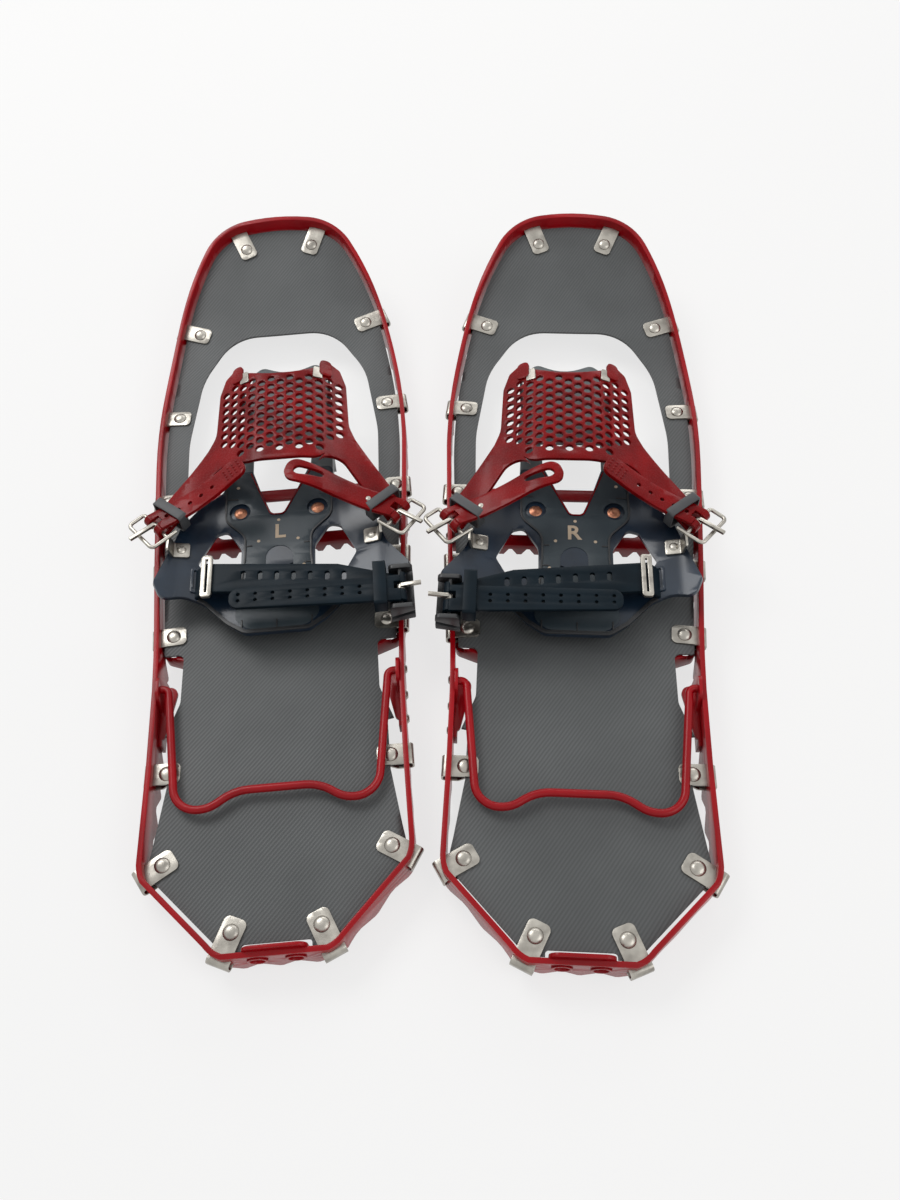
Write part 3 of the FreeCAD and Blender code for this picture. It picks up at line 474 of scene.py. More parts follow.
def softened(node, material, edge=0.35, smooth=35, seated=None):
    """A node's own shape with its edges rounded, standing for it on both shoes.

    seated, if given, moves each point, in the shoe's millimetres, to where the piece meets its neighbour.
    """
    pieces = []
    for side in SIDES:
        cad = frame["nodes"][f"{side}_{node}"]
        shape = bmesh.new()
        shape.from_mesh(cad.data)
        shape.transform(cad.matrix_world)
        bmesh.ops.remove_doubles(shape, verts=shape.verts, dist=0.01 * MM)
        bmesh.ops.dissolve_limit(shape, angle_limit=math.radians(1), verts=shape.verts, edges=shape.edges)
        if seated:
            to_row = shoe_frame(side)
            to_shoe = to_row.inverted()
            for vertex in shape.verts:
                vertex.co = to_row @ seated(to_shoe @ vertex.co)
        mesh = bpy.data.meshes.new(f"{side}_{node}")
        shape.to_mesh(mesh)
        shape.free()
        pieces.append(dressed(f"{side}_{node}_finished", finished_edges(mesh, 0, edge * MM), material,
                              body_of(cad)[0], [f"{side}_{node}"], smooth))
    return pieces


# ---- Frame: band, tail plate, cross members, brackets, crampon ----
softened("frame_blade", red_coat, edge=0.4)
softened("tail_splice_plate", red_coat, edge=0.4)
softened("front_cross_member", red_coat, edge=0.3)


def band_wall():
    """The right shoe's band in its own millimetres, to find its faces with rays."""
    cad = frame["nodes"]["right_frame_blade"]
    shape = bmesh.new()
    shape.from_mesh(cad.data)
    shape.transform(shoe_frame("right").inverted() @ cad.matrix_world)
    tree = BVHTree.FromBMesh(shape)
    shape.free()
    return tree


band = band_wall()


def on_the_band(place):
    """The rear cross member's end tabs, brought out until they lie on the band's inner face."""
    tab_start, tab_full = 64, 71.5      # the tab bends out between these distances from the middle
    share = min(max((abs(place.x) - tab_start) / (tab_full - tab_start), 0), 1)
    if share == 0:
        return place
    tab_face = 73.6 + 0.106 * (place.y + 87)
    above_teeth = 9         # and below the clips' slots
    wall = band.ray_cast(Vector((50, place.y, above_teeth)), Vector((1, 0, 0)))[0]
    shift = share * (wall.x - tab_face + 0.05)
    return Vector((place.x + math.copysign(shift, place.x), place.y, place.z))


softened("rear_cross_member", red_coat, edge=0.3, seated=on_the_band)
softened("lifter_brackets", red_coat, edge=0.3)
eyelet_start = -265         # behind this only the tail's eyelets are left
for hardware in softened("band_rivets_and_eyelets", steel, edge=0.2):
    side = hardware.name.split("_")[0]
    to_shoe = shoe_frame(side).inverted() @ hardware.matrix_world
    hardware.data.materials.append(red_coat)        # the two tail eyelets are painted with the band
    for face in hardware.data.polygons:
        if (to_shoe @ face.center).y < eyelet_start:
            face.material_index = 1
softened("crampon_plate", dark_steel, edge=0.3)
softened("pivot_pins", steel, edge=0.2)
softened("pivot_bushings", black_nylon, edge=0.15)


# ---- Deck ----
deck_top = 17
deck_thickness = 1.5
bend_start = 128            # the toe turns up from here, round a radius, to a straight slope
bend_radius = 260
bend_angle = math.radians(20)


def deck_place(y):
    """Height of the deck's top and its slope, in radians, at a distance along the shoe."""
    if y < bend_start:
        return deck_top, 0
    end = bend_start + bend_radius * math.sin(bend_angle)
    slope = math.asin((min(y, end) - bend_start) / bend_radius)
    return deck_top + bend_radius * (1 - math.cos(slope)) + max(y - end, 0) * math.tan(slope), slope


def on_the_deck(x, y, heading, rise=0.0):
    """Where a piece drawn with +X outwards and +Z up goes on the deck."""
    height, slope = deck_place(y)
    return (Matrix.Translation((x, y, height)) @ Matrix.Rotation(slope, 4, "X")
            @ Matrix.Rotation(math.radians(heading), 4, "Z") @ Matrix.Translation((0, 0, rise)))


wedge_y = [-222, -213, -178, -146]      # the deck is cut back here beside the tail clips
wedge_x = [72, 70.4, 65.2, 65]          # to these distances from the middle
tongue_y = (-176, -164)                 # but for a tongue under each side clip
cut_rows = [-145, -146.5, -163.8, -164.2, -175.8, -176.2, -213]


def deck_sheet(side):
    """The deck's own cut from its node, redrawn in small cells and a little slack between clips."""
    cad = frame["nodes"][side + "_deck"]
    to_shoe = shoe_frame(side).inverted() @ cad.matrix_world
    shape = bmesh.new()
    shape.from_mesh(cad.data)
    shape.transform(to_shoe)
    bmesh.ops.remove_doubles(shape, verts=shape.verts, dist=0.01)
    bmesh.ops.dissolve_limit(shape, angle_limit=math.radians(0.5), verts=shape.verts, edges=shape.edges)
    for axis, stations in ((0, range(-90, 91, 6)), (1, list(range(-280, 281, 6)) + cut_rows)):
        for station in stations:
            cut_at(shape, axis, station, 0.01)
    for vertex in shape.verts:
        x, y = vertex.co.x, vertex.co.y
        if wedge_y[0] < y < wedge_y[-1] and not tongue_y[0] < y < tongue_y[1]:
            vertex.co.x = math.copysign(min(abs(x), np.interp(y, wedge_y, wedge_x)), x)
    bmesh.ops.remove_doubles(shape, verts=shape.verts, dist=0.02)
    bmesh.ops.dissolve_degenerate(shape, edges=shape.edges[:], dist=0.01)
    bmesh.ops.triangulate(shape, faces=shape.faces[:])
    slack = 0.3
    for vertex in shape.verts:
        vertex.co.z += slack * noise.noise(Vector((vertex.co.x / 22, vertex.co.y / 30, 0)))
    if to_shoe.determinant() < 0:
        bmesh.ops.reverse_faces(shape, faces=shape.faces[:])
    mesh = bpy.data.meshes.new("deck")
    shape.to_mesh(mesh)
    shape.free()
    return mesh


for side in SIDES:
    deck = finished("deck_sheet", side, deck_sheet(side), deck_twill, "shoe", ["deck"],
                    smooth=30)


# ---- Deck clips and their rivets ----
clip_rows = [(25.8, 260.2, 68), (64.5, 191.9, 19), (77, 112.5, 4), (79.6, 33.4, 0), (73.5, -25.3, -4),
             (68.1, -76.6, -4), (65.7, -170.1, 0), (64, -224.6, -32), (24.3, -264.3, -66)]
clip_thickness = 1.2
clip_width = 13
clip_bulge = 2.4            # outside the band
clip_end = -8               # from the rivet to the clip's inner end
clip_lower = -6             # where its lower leg crosses the band
clip_corner = 3.4


def clip(reach_out):
    """One strip: over the deck, out through the band, down, back in and up under the deck."""
    top = clip_thickness / 2
    outside = reach_out + clip_bulge
    under = -deck_thickness - clip_thickness / 2
    line = [(clip_end, top), (outside, top, 2.2), (outside, clip_lower, 2.2), (reach_out - 7, clip_lower, 2),
            (reach_out - 11, under, 2), (clip_end, under)]
    length = run_length(line)
    half = clip_width / 2
    corners = ((0, -half), (length, -half), (length, half), (0, half))
    strip = pattern([corner + (clip_corner,) for corner in corners])
    return bent(strip, line, clip_thickness, 0.3, along=True)


def clip_reaches():
    """How far each clip's rivet is from the band's outer face."""
    reaches = []
    for x, y, heading in clip_rows:
        way = on_the_deck(0, y, heading).to_3x3() @ Vector((1, 0, 0))
        start = on_the_deck(x, y, heading, 3.5).translation
        inner = band.ray_cast(start, way)[0]
        outer = band.ray_cast(inner + way * 0.5, way)[0]
        reaches.append((outer - start).length)
    return reaches


def both_ends(matrix):
    """A place on the +x side and the same place on the other side."""
    return [matrix, mirror @ matrix @ mirror]


def rivet_head_shape():
    """A domed head with a thin flange, of radius and height one, turned from its profile."""
    profile = [(1, 0), (1, 0.16), (0.94, 0.3), (0.8, 0.6), (0.58, 0.85), (0.3, 0.97), (0, 1)]
    shape = bmesh.new()
    corners = [shape.verts.new((radius, 0, height)) for radius, height in profile]
    edges = [shape.edges.new(pair) for pair in zip(corners, corners[1:])]
    bmesh.ops.spin(shape, geom=corners + edges, angle=2 * math.pi, steps=18, axis=(0, 0, 1), cent=(0, 0, 0))
    bmesh.ops.remove_doubles(shape, verts=shape.verts, dist=0.0005)
    bmesh.ops.holes_fill(shape, edges=[edge for edge in shape.edges if edge.is_boundary])
    bmesh.ops.recalc_face_normals(shape, faces=shape.faces)
    mesh = bpy.data.meshes.new("rivet_head")
    shape.to_mesh(mesh)
    shape.free()
    return mesh


rivet_head = passing(rivet_head_shape())


def rivet_heads(places, radius, height, finish):
    """Rivet heads at each place, a matrix whose +Z is the way the head stands."""
    mesh = bpy.data.meshes.new("rivets")
    mesh.from_pydata([matrix.translation for matrix in places], [], [])
    turns = mesh.attributes.new("turn", "FLOAT_VECTOR", "POINT")
    turns.data.foreach_set("vector", [a for matrix in places for a in matrix.to_euler()])
    return made_by(riveting, mesh, {"Head": rivet_head, "Radius": radius, "Height": height, "Finish": finish})


clips = []
rivet_places = []
for (x, y, heading), reach_out in zip(clip_rows, clip_reaches()):
    strip = moved(clip(reach_out), on_the_deck(x, y, heading))
    clips += [strip, moved(strip, mirror)]
    rivet_places += both_ends(on_the_deck(x, y, heading, clip_thickness))
on_both("clip_strips", joined(clips), steel, "shoe", ["deck_clips"])
on_both("clip_rivets", rivet_heads(rivet_places, 4.5, 1.9, steel), steel, "shoe",
        ["deck_rivets"], smooth=50)


# ---- Heel lifter ----
def wire(corners, radius):
    """A bent wire along rounded corners in plan at height zero, closed at its ends."""
    path = rounded(corners, closed=False, step=8)
    curve = bpy.data.curves.new("wire", "CURVE")
    curve.dimensions = "3D"
    line = curve.splines.new("POLY")
    line.points.add(len(path) - 1)
    for point, place in zip(line.points, path):
        point.co = (place.x, place.y, 0, 1)
    curve.bevel_depth = radius
    curve.bevel_resolution = 5
    curve.use_fill_caps = True
    return plain(passing(curve))


bail_half = [(73.2, lifter_y), (67, lifter_y, 4), (58, -197, 15), (38, -195.5, 18), (24, -186.3, 28)]
bail_radius = 2.4
bail = moved(wire(bail_half + turned_over(bail_half), bail_radius), Matrix.Translation((0, 0, lifter_z)))
on_both("bail_wire", bail, red_coat, "lifter", ["heel_lifter_bail"], smooth=60)


# ---- Binding: moulded base ----
base_thickness = 3
base_middle = base_top - base_thickness / 2
wing_half = [(42, base_middle, 30), (66, base_middle + 5, 30), (96, base_middle + 17)]
wing_line = turned_over(wing_half) + wing_half
rivet_spots = [(26, 9), (11, -42.5)]
recess_radius = 7
recess_floor = base_top - 1.3


def ring_points(x, y, radius, sides=28):
    return [(x + radius * math.cos(2 * math.pi * i / sides), y + radius * math.sin(2 * math.pi * i / sides))
            for i in range(sides)]


def run_beside(run, width):
    """A closed outline of even width about an open run of corners."""
    path = rounded(run, closed=False, step=10)
    left = []
    right = []
    for i, point in enumerate(path):
        way = (path[min(i + 1, len(path) - 1)] - path[max(i - 1, 0)]).normalized()
        across = Vector((-way.y, way.x)) * width / 2
        left.append(tuple(point + across))
        right.append(tuple(point - across))
    return left + right[::-1]


base_side = [(37, 44, 4), (37, 28, 8), (52, 15, 12), (64, -3, 20), (72, -29, 20), (86, -51, 4),
             (81, -61, 4), (60, -57, 15), (46, -63, 15), (31, -79, 8), (20, -87, 8)]
foot_notch = [(-20.1, 44, 1.5), (-11, 23, 20), (-3, 6, 4), (5, 6, 4), (13, 27, 20), (18.4, 44, 1.5)]
shorter = {(86, -51, 4): (78, -48, 5), (81, -61, 4): (73, -60, 6)}       # the outer wing's tip
outer_side = [shorter.get(corner, corner) for corner in base_side]
base_outline = outer_side + turned_over(base_side) + foot_notch
base_window = [(52, -32, 4), (41, -8, 4), (34, -6, 4), (24, -22, 8), (24, -43, 4), (44, -45.5, 5)]
recesses = [ring_points(side * x, y, recess_radius) for x, y in rivet_spots for side in (-1, 1)]
base = bent(pattern(base_outline, [base_window, turned_over(base_window)] + recesses), wing_line,
            base_thickness, 0.6)
cups = []
for side in (-1, 1):
    for x, y in rivet_spots:
        cup = pattern(ring_points(side * x, y, recess_radius + 0.2))
        cup.transform(Matrix.Translation((0, 0, (recess_floor + base_top - base_thickness) / 2)))
        cups.append(finished_edges(cup, recess_floor - base_top + base_thickness, 0.2))
on_both("base_moulding", joined([base] + cups), navy_base, "binding", ["base_plate"])

def laid(sheet, rise, thickness, edge):
    """A flat sheet on the base's top, its middle at a given height above it."""
    return bent(sheet, [(-60, base_top + rise), (60, base_top + rise)], thickness, edge)


# the greyer middle panel lies on the base between the windows; the black strip down each side of it is
# painted shade along the panel's edges
panel_side = [(35.6, 42.6, 3), (35.6, 2, 12), (21.6, -12, 12), (21.6, -30, 18), (24.4, -60, 10),
              (27, -76, 8), (18, -84, 8)]
panel_notch = [(-22.3, 42.6, 1.5), (-12.6, 23, 20), (-4, 4.2, 4), (6, 4.2, 4), (14.6, 27, 20),
               (20.4, 42.6, 1.5)]
eye = [(-10, -38, 1), (-10, -31, 9.9), (-10, -21, 9.9), (8, -21, 8.9), (8, -31, 8.9), (8, -38, 1)]
panel = laid(pattern(panel_side + turned_over(panel_side) + panel_notch, recesses[:2] + [eye]),
             0.1, 0.5, 0.15)
on_both("base_middle_panel", panel, navy_centre, "binding")
# the strips along this run, beside the middle panel, are painted shade
rib_run = [(35.6, 30), (35.6, 2, 12), (21.6, -12, 12), (21.6, -30, 18), (24.4, -60)]
ribs = [laid(pattern(run_beside(run, 1.2)), 0.4, 1.2, 0.3) for run in (rib_run, turned_over(rib_run))]
heel_rim_run = [(-50, -60, 6), (-46, -62, 15), (-31, -78, 8), (-20, -85.6, 8), (20, -85.6, 8),
                (31, -78, 8), (46, -62, 15), (50, -60, 6)]
ribs.append(bent(pattern(run_beside(heel_rim_run, 2.4)), raised(wing_line, base_thickness / 2 + 0.3), 1.2,
                 0.4))
short_ribs = [[(-22, -77), (-22, -83)], [(0, -78), (0, -84)], [(22, -77), (22, -83)],
              [(27.6, 20), (34.6, 20)], [(-27.6, 20), (-34.6, 20)], [(17, -20), (21.4, -20)],
              [(-17, -20), (-21.4, -20)], [(17, -36), (21.8, -36)], [(-17, -36), (-21.8, -36)]]
ribs += [laid(pattern(run_beside(run, 0.9)), 0.5, 0.6, 0.1) for run in short_ribs]
on_both("base_ribs", joined(ribs), black_nylon, "binding")
notch_run = [(-21.6, 42), (-12, 23, 20), (-3.5, 5.2, 4), (5.5, 5.2, 4), (14, 27, 20), (19.6, 42)]
notch_edge = laid(pattern(run_beside(notch_run, 0.8)), 0.45, 0.5, 0.1)
on_both("notch_edge", notch_edge, red_net, "binding")

copper_places = [Matrix.Translation((side * x, y, recess_floor)) for side in (-1, 1) for x, y in rivet_spots]
crowns = [matrix @ Matrix.Translation((0, 0, 0.85)) for matrix in copper_places]
copper_heads = joined([rivet_heads(copper_places, 4.4, 1, copper), rivet_heads(crowns, 2.5, 0.5, copper)])
on_both("base_rivet_heads", copper_heads, copper, "binding",
        ["base_rivets"], smooth=50)
# small raised dots on the base, coloured pale: painted highlights
gate_marks = [(0, 0), (13, -16.4), (-13, -16.4), (-17, -38), (28, 30), (-28, 30)]
marks = rivet_heads([Matrix.Translation((x, y, base_top + 0.25)) for x, y in gate_marks], 1.2, 0.35,
                    pale_mark)
on_both("base_gate_marks", marks, pale_mark, "binding", smooth=50)

for side in SIDES:      # a plain R or L tells the two shoes apart
    text = bpy.data.curves.new(side + "_letter", "FONT")
    text.body = side[0].upper()
    text.size = 15.5
    text.extrude = 0.15
    text.offset = 0.35
    text.align_x = "CENTER"
    text.align_y = "CENTER"
    place = Matrix.Translation((-1, -10, base_top + 0.42))
    if side == "left":      # mirrored here, so that it reads the right way once the shoe is mirrored
        place = place @ mirror
    finished("letter", side, moved(plain(passing(text)), place), pale_mark, "binding")


# ---- Binding: perforated wrap ----
def wrap_line(rise=0.0):
    """The wrap seen from the toe: low at the buckles and arched over the foot."""
    half = [(20, 62, 38), (39, 52, 80), (57, 45, 60), (100, 41)]
    return [(toe_shift + corner[0],) + corner[1:] for corner in raised(turned_over(half) + half, rise)]


def way_at(turn):
    """The direction, in plan, at a turn in degrees."""
    return Vector((math.cos(math.radians(turn)), math.sin(math.radians(turn))))


def strap_end(bar, turn, half_width):
    """The end of a strap at its buckle's bar, with a notch for the prong's ring."""
    way = way_at(turn)
    across = Vector((-way.y, way.x))
    near = across * notch_half
    back = way * notch_depth
    return [tuple(Vector(bar) + step) for step in (
        across * half_width, near, near - back, -near - back, -near, -across * half_width)]


def strap_root(start, end, half_width):
    """The two corners of a strap at its start, left then right of the way it runs."""
    way = (Vector(end) - Vector(start)).normalized()
    across = Vector((-way.y, way.x)) * half_width
    return tuple(Vector(start) + across), tuple(Vector(start) - across)


def inside(point, corners, margin):
    """Whether a point lies within an outline, and at least a margin from it."""
    loop = rounded(corners)
    within = False
    for a, b in zip(loop, loop[1:] + loop[:1]):
        if (a.y > point.y) != (b.y > point.y):
            if point.x < a.x + (point.y - a.y) / (b.y - a.y) * (b.x - a.x):
                within = not within
        run = b - a
        along = max(0, min(1, (point - a).dot(run) / max(run.dot(run), 1e-9)))
        if (a + run * along - point).length < margin:
            return False
    return within


def turned_end(bar, turn, low, high, half_width):
    """The strap's half round about a bar, from its lower to its upper layer, split for the prong."""
    radius = (high - low) / 2
    arc = [(radius * math.sin(a), -radius * math.cos(a)) for a in np.linspace(0, math.pi, 13)]
    length = sum(math.dist(a, b) for a, b in zip(arc, arc[1:]))
    strips = [pattern([(0, near), (length, near), (length, far), (0, far)])
              for near, far in ((notch_half, half_width), (-half_width, -notch_half))]
    turned = bent(joined(strips), arc, strap_thickness, 0.4, along=True)
    return moved(turned, Matrix.Translation((bar[0], bar[1], (low + high) / 2))
                 @ Matrix.Rotation(math.radians(turn), 4, "Z"))


def pulled_back(bar, turn):
    """Where a strap's turn is centred, so that its inside lies against the bar's outer side."""
    sunk = 0.05
    return tuple(Vector(bar) - way_at(turn) * ((strap_return - strap_thickness) / 2 - buckle_wire + sunk))


def upper_layer(tip, end, turn, windows=(), holes=()):
    """The upper layer of a forefoot strap, from its free tip back to its buckle."""
    outline = [tip[0] + (7,)] + strap_end(end, turn, half_strap - 0.5) + [tip[1] + (7,)]
    return bent(pattern(outline, windows, holes, 1.5), wrap_line(strap_return), strap_thickness, 0.5)


half_strap = strap_width / 2
medial_end = pulled_back(medial_bar, medial_turn)
lateral_end = pulled_back(lateral_bar, lateral_turn)
inner_root = strap_root((-47, 45), medial_bar, half_strap)
outer_root = strap_root((38, 45), lateral_bar, half_strap)
inner_end = strap_end(medial_end, medial_turn, half_strap)
outer_end = strap_end(lateral_end, lateral_turn, half_strap)
horn_half = [(45, 60, 20), (44, 98, 10), (40, 112, 5), (31, 119, 4), (26.5, 110.5, 4), (13, 105, 30)]
inner_horn = [(toe_shift - x, y, radius) for x, y, radius in horn_half]
outer_horn = [(toe_shift + x, y, radius) for x, y, radius in reversed(horn_half)]
net_outline = (outer_horn[-1:] + [outer_root[0] + (10,)] + outer_end + [outer_root[1] + (14,), (20, 27, 12),
               (-32, 27, 12), inner_root[0] + (10,)] + inner_end + [inner_root[1] + (8,)] + inner_horn
               + outer_horn[:-1])
net_middle = [(toe_shift + 43, 104, 6), (toe_shift - 43, 104, 6), (toe_shift - 44, 60),
              (toe_shift - 42, 46, 10), (-30, 29, 6), (18, 29, 6), (36, 45, 10), (toe_shift + 44, 60)]
net_pitch = 7.5
net_hole_radius = 2.75
holes = []
for row in range(-8, 9):
    for step in range(-6, 9):
        spot = Vector((toe_shift + row * net_pitch * math.sqrt(3) / 2,
                       66 + (step + (row % 2) / 2) * net_pitch))
        if inside(spot, net_middle, 3.3) and inside(spot, net_outline, 4.2):
            holes.append((spot.x, spot.y))
net = bent(pattern(net_outline, holes=holes, hole_radius=net_hole_radius), wrap_line(), strap_thickness, 0.4)

inner_tip = strap_root((-11, 12), medial_bar, half_strap)
pull_loop = [(-15, 14, 4), (-34, 9, 4), (-38, 3.5, 3), (-16, 6, 5)]
inner_return = upper_layer(inner_tip, medial_end, medial_turn, [pull_loop])
outer_start = Vector((17, 21))
outer_tip = strap_root(outer_start, lateral_bar, half_strap)
outer_way = (Vector(lateral_bar) - outer_start).normalized()
outer_across = Vector((-outer_way.y, outer_way.x))
strap_holes = [tuple(outer_start + outer_way * (24 + 8.5 * i)) for i in range(5)]
outer_return = upper_layer(outer_tip, lateral_end, lateral_turn, (), strap_holes)


def height_on(line, x):
    path = rounded(line, closed=False)
    return float(np.interp(x, [point.x for point in path], [point.y for point in path]))


turns = [turned_end(bar, turn, height_on(wrap_line(), bar[0]), height_on(wrap_line(strap_return), bar[0]),
                    half_strap - 0.5)
         for bar, turn in ((medial_end, medial_turn), (lateral_end, lateral_turn))]
grip_spots = [outer_start + outer_way * (3 + 3.4 * i) + outer_across * j
              for i in range(4) for j in (-4.4, -1.5, 1.5, 4.4)]
grip_pips = [Matrix.Translation((place.x, place.y, height_on(wrap_line(strap_return), place.x) + 1.1))
             for place in grip_spots]
pips = rivet_heads(grip_pips, 1.15, 0.9, red_net)
on_both("wrap_net", joined([net, inner_return, outer_return, pips] + turns), red_net, "binding",
        ["forefoot_wrap"], smooth=45)


# ---- Binding: heel strap ----
heel_bar_x = -79
heel_low_line = [(-84, 44), (44, 41.5, 3), (51, 33.6)]
heel_top_line = [(-84, 49.4), (30, 48.4)]
heel_prong_y = -72.5
heel_notch = [(heel_bar_x, heel_prong_y + notch_half), (heel_bar_x + notch_depth, heel_prong_y + notch_half),
              (heel_bar_x + notch_depth, heel_prong_y - notch_half), (heel_bar_x, heel_prong_y - notch_half)]
oval_slots = []
for i in range(7):
    x = -44 + 10.6 * i
    y = -59.6 + 0.113 * (x + 44) + 1.5
    oval_slots.append([(x + i * 1.6, y + j * 3.4, 1.5) for i, j in ((-1, -1), (1, -1), (1, 1), (-1, 1))])
low_layer = bent(pattern([(51, -38.7), (-40, -49), (heel_bar_x, -62.3)] + heel_notch
                         + [(heel_bar_x, -82.3), (-42, -70, 30), (51, -59.7)], oval_slots),
                 heel_low_line, strap_thickness, 0.5)
pair_holes = [(-54 + 10.7 * i, -73.8 + 0.025 * 10.7 * i + j) for i in range(8) for j in (-2.3, 2.3)]
top_layer = bent(pattern([(26.5, -65, 6), (heel_bar_x, -65.5)] + heel_notch
                         + [(heel_bar_x, -83.7), (26.5, -79, 6)], holes=pair_holes, hole_radius=1.25),
                 heel_top_line, strap_thickness, 0.5)
heel_turn = moved(turned_end((0, 0), 0, 43.95, 49.35, 10),
                  Matrix.Translation((heel_bar_x, heel_prong_y - 0.6, 0)) @ mirror)
on_both("heel_strap_layers", joined([low_layer, top_layer, heel_turn]), navy_strap, "binding",
        ["heel_strap"])

# a raised frame on the outer wing, where the strap's end plate is moulded in
frame_sides = pattern([(47.6, -36.6, 1.5), (55.4, -35.6, 1.5), (55.4, -54.4, 1.5), (47.6, -55.4, 1.5)],
                      [[(49.4, -38.4, 0.8), (53.6, -37.6, 0.8), (53.6, -52.4, 0.8), (49.4, -53.2, 0.8)]])
wing_frame = bent(frame_sides, raised(wing_line, base_thickness / 2 + 0.4), 1.2, 0.3)
on_both("wing_frame", wing_frame, navy_base, "binding")


# ---- Binding: buckles, keepers, tabs and small hardware ----
def buckle(bar, turn, side):
    """A loop of bent steel wire, whose last run is the bar for the strap, and the plate that anchors it."""
    run = [(-7, 12.9), (12.2, 12.9, 3), (12.2, -13.2, 3), (0, -13.2, 1.6), (0, 12.9)]
    loop = wire(run, buckle_wire)
    loop = moved(loop, Matrix.Translation((*bar, bar_z)) @ Matrix.Rotation(math.radians(turn), 4, "Z")
                 @ Matrix.Diagonal((1, -side, 1, 1)))
    rise = [(57, 34.9), (67.2, 37.1, 2), (68.6, bar_z)]
    length = run_length(rise)
    plate = bent(pattern([(0, -28, 1.5), (length, -28, 1.5), (length, -17, 1.5), (0, -17, 1.5)]), rise, 1.5,
                 0.3, along=True)
    return joined([loop, plate if side > 0 else moved(plate, mirror)])


on_both("medial_buckle_loop", buckle(medial_bar, medial_turn, -1), steel, "binding",
        ["medial_buckle"])
on_both("lateral_buckle_loop", buckle(lateral_bar, lateral_turn, 1), steel, "binding",
        ["lateral_buckle"])


def strap_keeper(bar, turn, heading):
    """A moulded ring round both layers of a forefoot strap, a little way in from its buckle."""
    x, y = Vector(bar) - way_at(turn) * 13
    room = 2.1              # from the middle of each layer
    low = height_on(wrap_line(), x) - room
    high = height_on(wrap_line(strap_return), x) + room
    half = 11.1
    wall = 1.4
    inner, outer = ([(-half - out, low - out, radius), (half + out, low - out, radius),
                     (half + out, high + out, radius), (-half - out, high + out, radius)]
                    for out, radius in ((0, 1.2), (wall, 2.4)))
    ring = finished_edges(pattern(outer, [inner]), 6.6, 0.5)
    stand = Matrix.Rotation(math.radians(heading), 4, "Z") @ Matrix.Rotation(math.pi / 2, 4, "Z")
    return moved(ring, Matrix.Translation((x, y, 0)) @ stand @ Matrix.Rotation(math.pi / 2, 4, "X"))


on_both("medial_keeper_ring", strap_keeper(medial_bar, medial_turn, 52), grey_nylon, "binding",
        ["medial_keeper"])
on_both("lateral_keeper_ring", strap_keeper(lateral_bar, lateral_turn, 130), grey_nylon, "binding",
        ["lateral_keeper"])
softened("heel_buckle", black_nylon, edge=0.4)
softened("heel_strap_keeper", navy_strap, edge=0.5)
softened("heel_strap_slide", steel, edge=0.3)
softened("medial_prong", steel, edge=0.25)
softened("lateral_prong", steel, edge=0.25)


def short_tip(place):
    """The heel prong's tip, drawn in until it only just passes its buckle."""
    buckle_edge = heel_bar_x - 8
    if place.x > buckle_edge:
        return place
    return Vector((buckle_edge + (place.x - buckle_edge) * 0.45, place.y, place.z))


softened("heel_prong", steel, edge=0.25, seated=short_tip)
softened("buckle_rivets", steel, edge=0.3)

# dark red pads on the wrap's two horns, and the bright tabs that hold them to the crampon plate
pads = []
tabs = []
for side in (-1, 1):
    x = toe_shift + side * 31
    pad = [(x - 4.4, 103, 3), (x + 4.4, 103, 3), (x + 3.6, 117.4, 3.4), (x - 3.6, 117.4, 3.4)]
    pads.append(bent(pattern(pad), wrap_line(1.9), 1.8, 0.6))
    x = toe_shift + side * 25.5
    tab = [(x - 3.2, 99.5, 1), (x + 3.2, 99.5, 1), (x + 2.4, 109.6, 1.4), (x - 2.4, 109.6, 1.4)]
    tabs.append(bent(pattern(tab), wrap_line(1.9), 1, 0.3))
# the crampon plate runs on under the net to a wavy edge, seen through its holes and past its front
toe_edge = [(70, -34, 3), (108, -31, 12), (143, -26, 6), (149, -20, 5), (139, 0, 26), (149, 20, 5),
            (143, 26, 6), (108, 31, 12), (70, 34, 3)]
toe_plate = moved(bent(pattern(toe_edge), [(60, 27.8), (132, 27.8, 30), (160, 25)], 1.4, 0.4),
                  Matrix.Translation((toe_shift, 0, 0)) @ Matrix.Rotation(math.pi / 2, 4, "Z"))
on_both("toe_plate", toe_plate, dark_steel, "binding")
on_both("horn_pads", joined(pads), red_net, "binding")
on_both("horn_tabs", joined(tabs), steel, "binding")
wrap_stud = Matrix.Translation((-62, -6.4, height_on(wrap_line(strap_return), -62) + 1.2))
on_both("wrap_stud", rivet_heads([wrap_stud], 1.9, 0.8, steel), steel, "binding", smooth=50)

bpy.data.objects.remove(rivet_head)


# ---- Floor, light and camera ----
def looked_at(tree):
    """One where the camera sees a surface, by itself or in metal or glass, and zero for its light."""
    rays = add(tree, "ShaderNodeLightPath")
    either = add(tree, "ShaderNodeMath", {0: rays.outputs["Is Camera Ray"], 1: rays.outputs["Is Glossy Ray"]},
                 operation="MAXIMUM")
    return add(tree, "ShaderNodeMath", {0: either.outputs["Value"], 1: rays.outputs["Is Transmission Ray"]},
               operation="MAXIMUM").outputs["Value"]


def floor_finish():
    """A pale matt studio floor that reads white to the eye and keeps the object's shadow."""
    made, tree = new_material("studio_floor")
    matt = add(tree, "ShaderNodeBsdfDiffuse", {"Color": linear("E9E7E4")})
    glow = add(tree, "ShaderNodeEmission", {"Color": linear("FFFFFF"), "Strength": 0.97})
    share = add(tree, "ShaderNodeMath", {0: looked_at(tree), 1: 0.75}, operation="MULTIPLY")
    floor = add(tree, "ShaderNodeMixShader", {
        0: share.outputs["Value"], 1: matt.outputs["BSDF"], 2: glow.outputs["Emission"]})
    add(tree, "ShaderNodeOutputMaterial", {"Surface": floor.outputs["Shader"]})
    return made


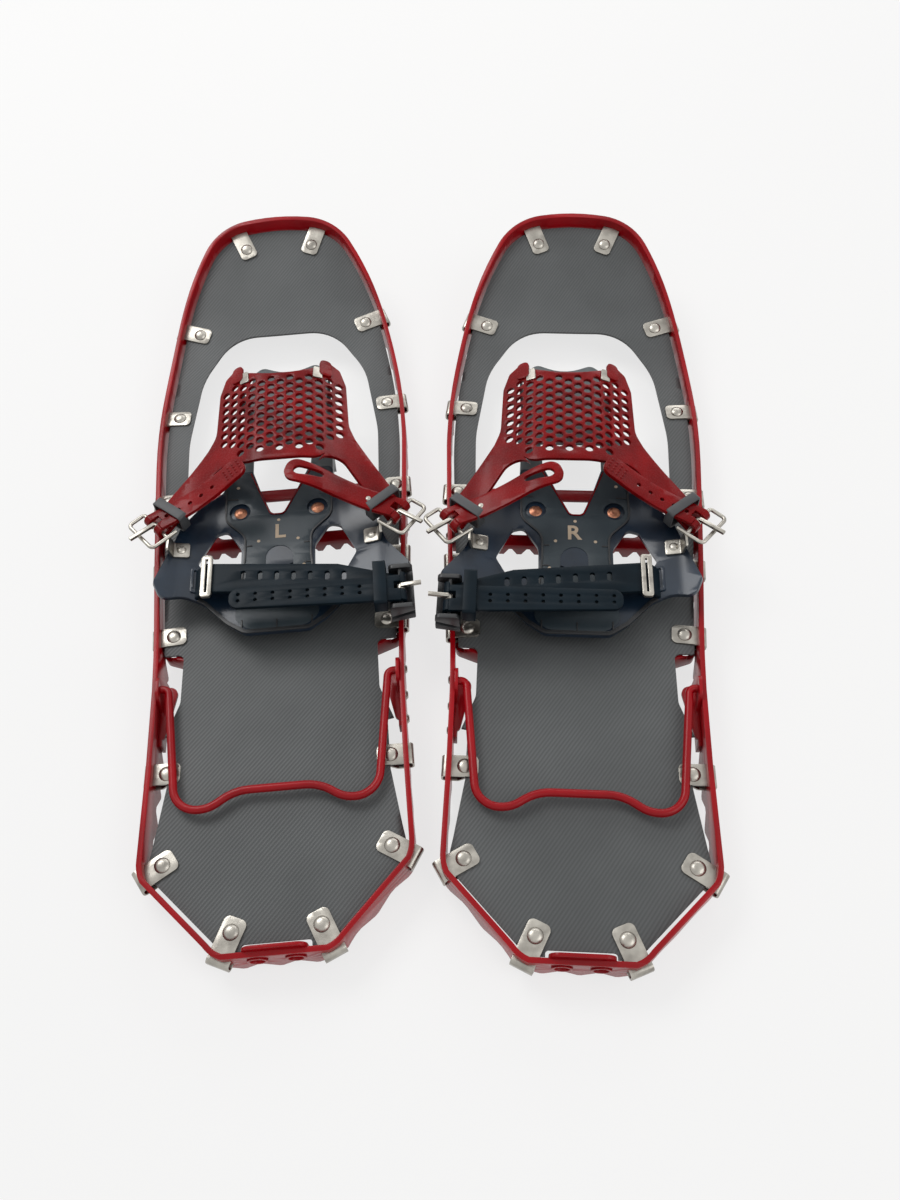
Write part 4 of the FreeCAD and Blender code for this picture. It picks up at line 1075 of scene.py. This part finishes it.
floor_mesh = bpy.data.meshes.new("floor")
floor_mesh.from_pydata([(-4, -4, 0), (4, -4, 0), (4, 4, 0), (-4, 4, 0)], [], [(0, 1, 2, 3)])
floor_mesh.materials.append(floor_finish())
floor = bpy.data.objects.new("floor", floor_mesh)
bpy.context.scene.collection.objects.link(floor)

world = bpy.data.worlds.new("studio")
world.use_nodes = True
bpy.context.scene.world = world
sky = world.node_tree
sky.nodes.clear()
dome = add(sky, "ShaderNodeBackground", {"Color": linear("F2F4F7"), "Strength": 0.55})
backdrop = add(sky, "ShaderNodeBackground", {"Color": linear("FFFFFF"), "Strength": 1.0})
choice = add(sky, "ShaderNodeMixShader", {
    0: looked_at(sky), 1: dome.outputs["Background"], 2: backdrop.outputs["Background"]})
add(sky, "ShaderNodeOutputWorld", {"Surface": choice.outputs["Shader"]})


def soft_box(name, place, aim, size, power):
    light = bpy.data.lights.new(name, "AREA")
    light.shape = "RECTANGLE"
    light.size, light.size_y = size
    light.energy = power
    lamp = bpy.data.objects.new(name, light)
    bpy.context.scene.collection.objects.link(lamp)
    lamp.location = place
    lamp.rotation_euler = (Vector(aim) - Vector(place)).to_track_quat("-Z", "Y").to_euler()


soft_box("key_light", (-0.9, 0.9, 1.5), (0, 0, 0), (1.0, 0.8), 16)
soft_box("fill_light", (1.2, -0.6, 1.3), (0, 0, 0), (1.2, 1.0), 7)
soft_box("back_light", (0.4, 1.6, 0.9), (0, 0.1, 0), (1.4, 0.5), 6)

lens = bpy.data.cameras.new("camera")
lens.lens = 28.95
lens.sensor_width = 36
lens.sensor_fit = "AUTO"
lens.clip_start = 0.01
view = (Matrix.Rotation(math.radians(1.0), 3, "Z") @ Matrix.Rotation(math.radians(-32.5), 3, "X")
        @ Matrix.Rotation(math.radians(-1.11), 3, "Y"))
camera = bpy.data.objects.new("camera", lens)
bpy.context.scene.collection.objects.link(camera)
camera.matrix_world = Matrix.Translation((0.025, -0.3899, 0.544)) @ view.transposed().to_4x4()
bpy.context.scene.camera = camera
bpy.context.scene.view_settings.view_transform = "Standard"
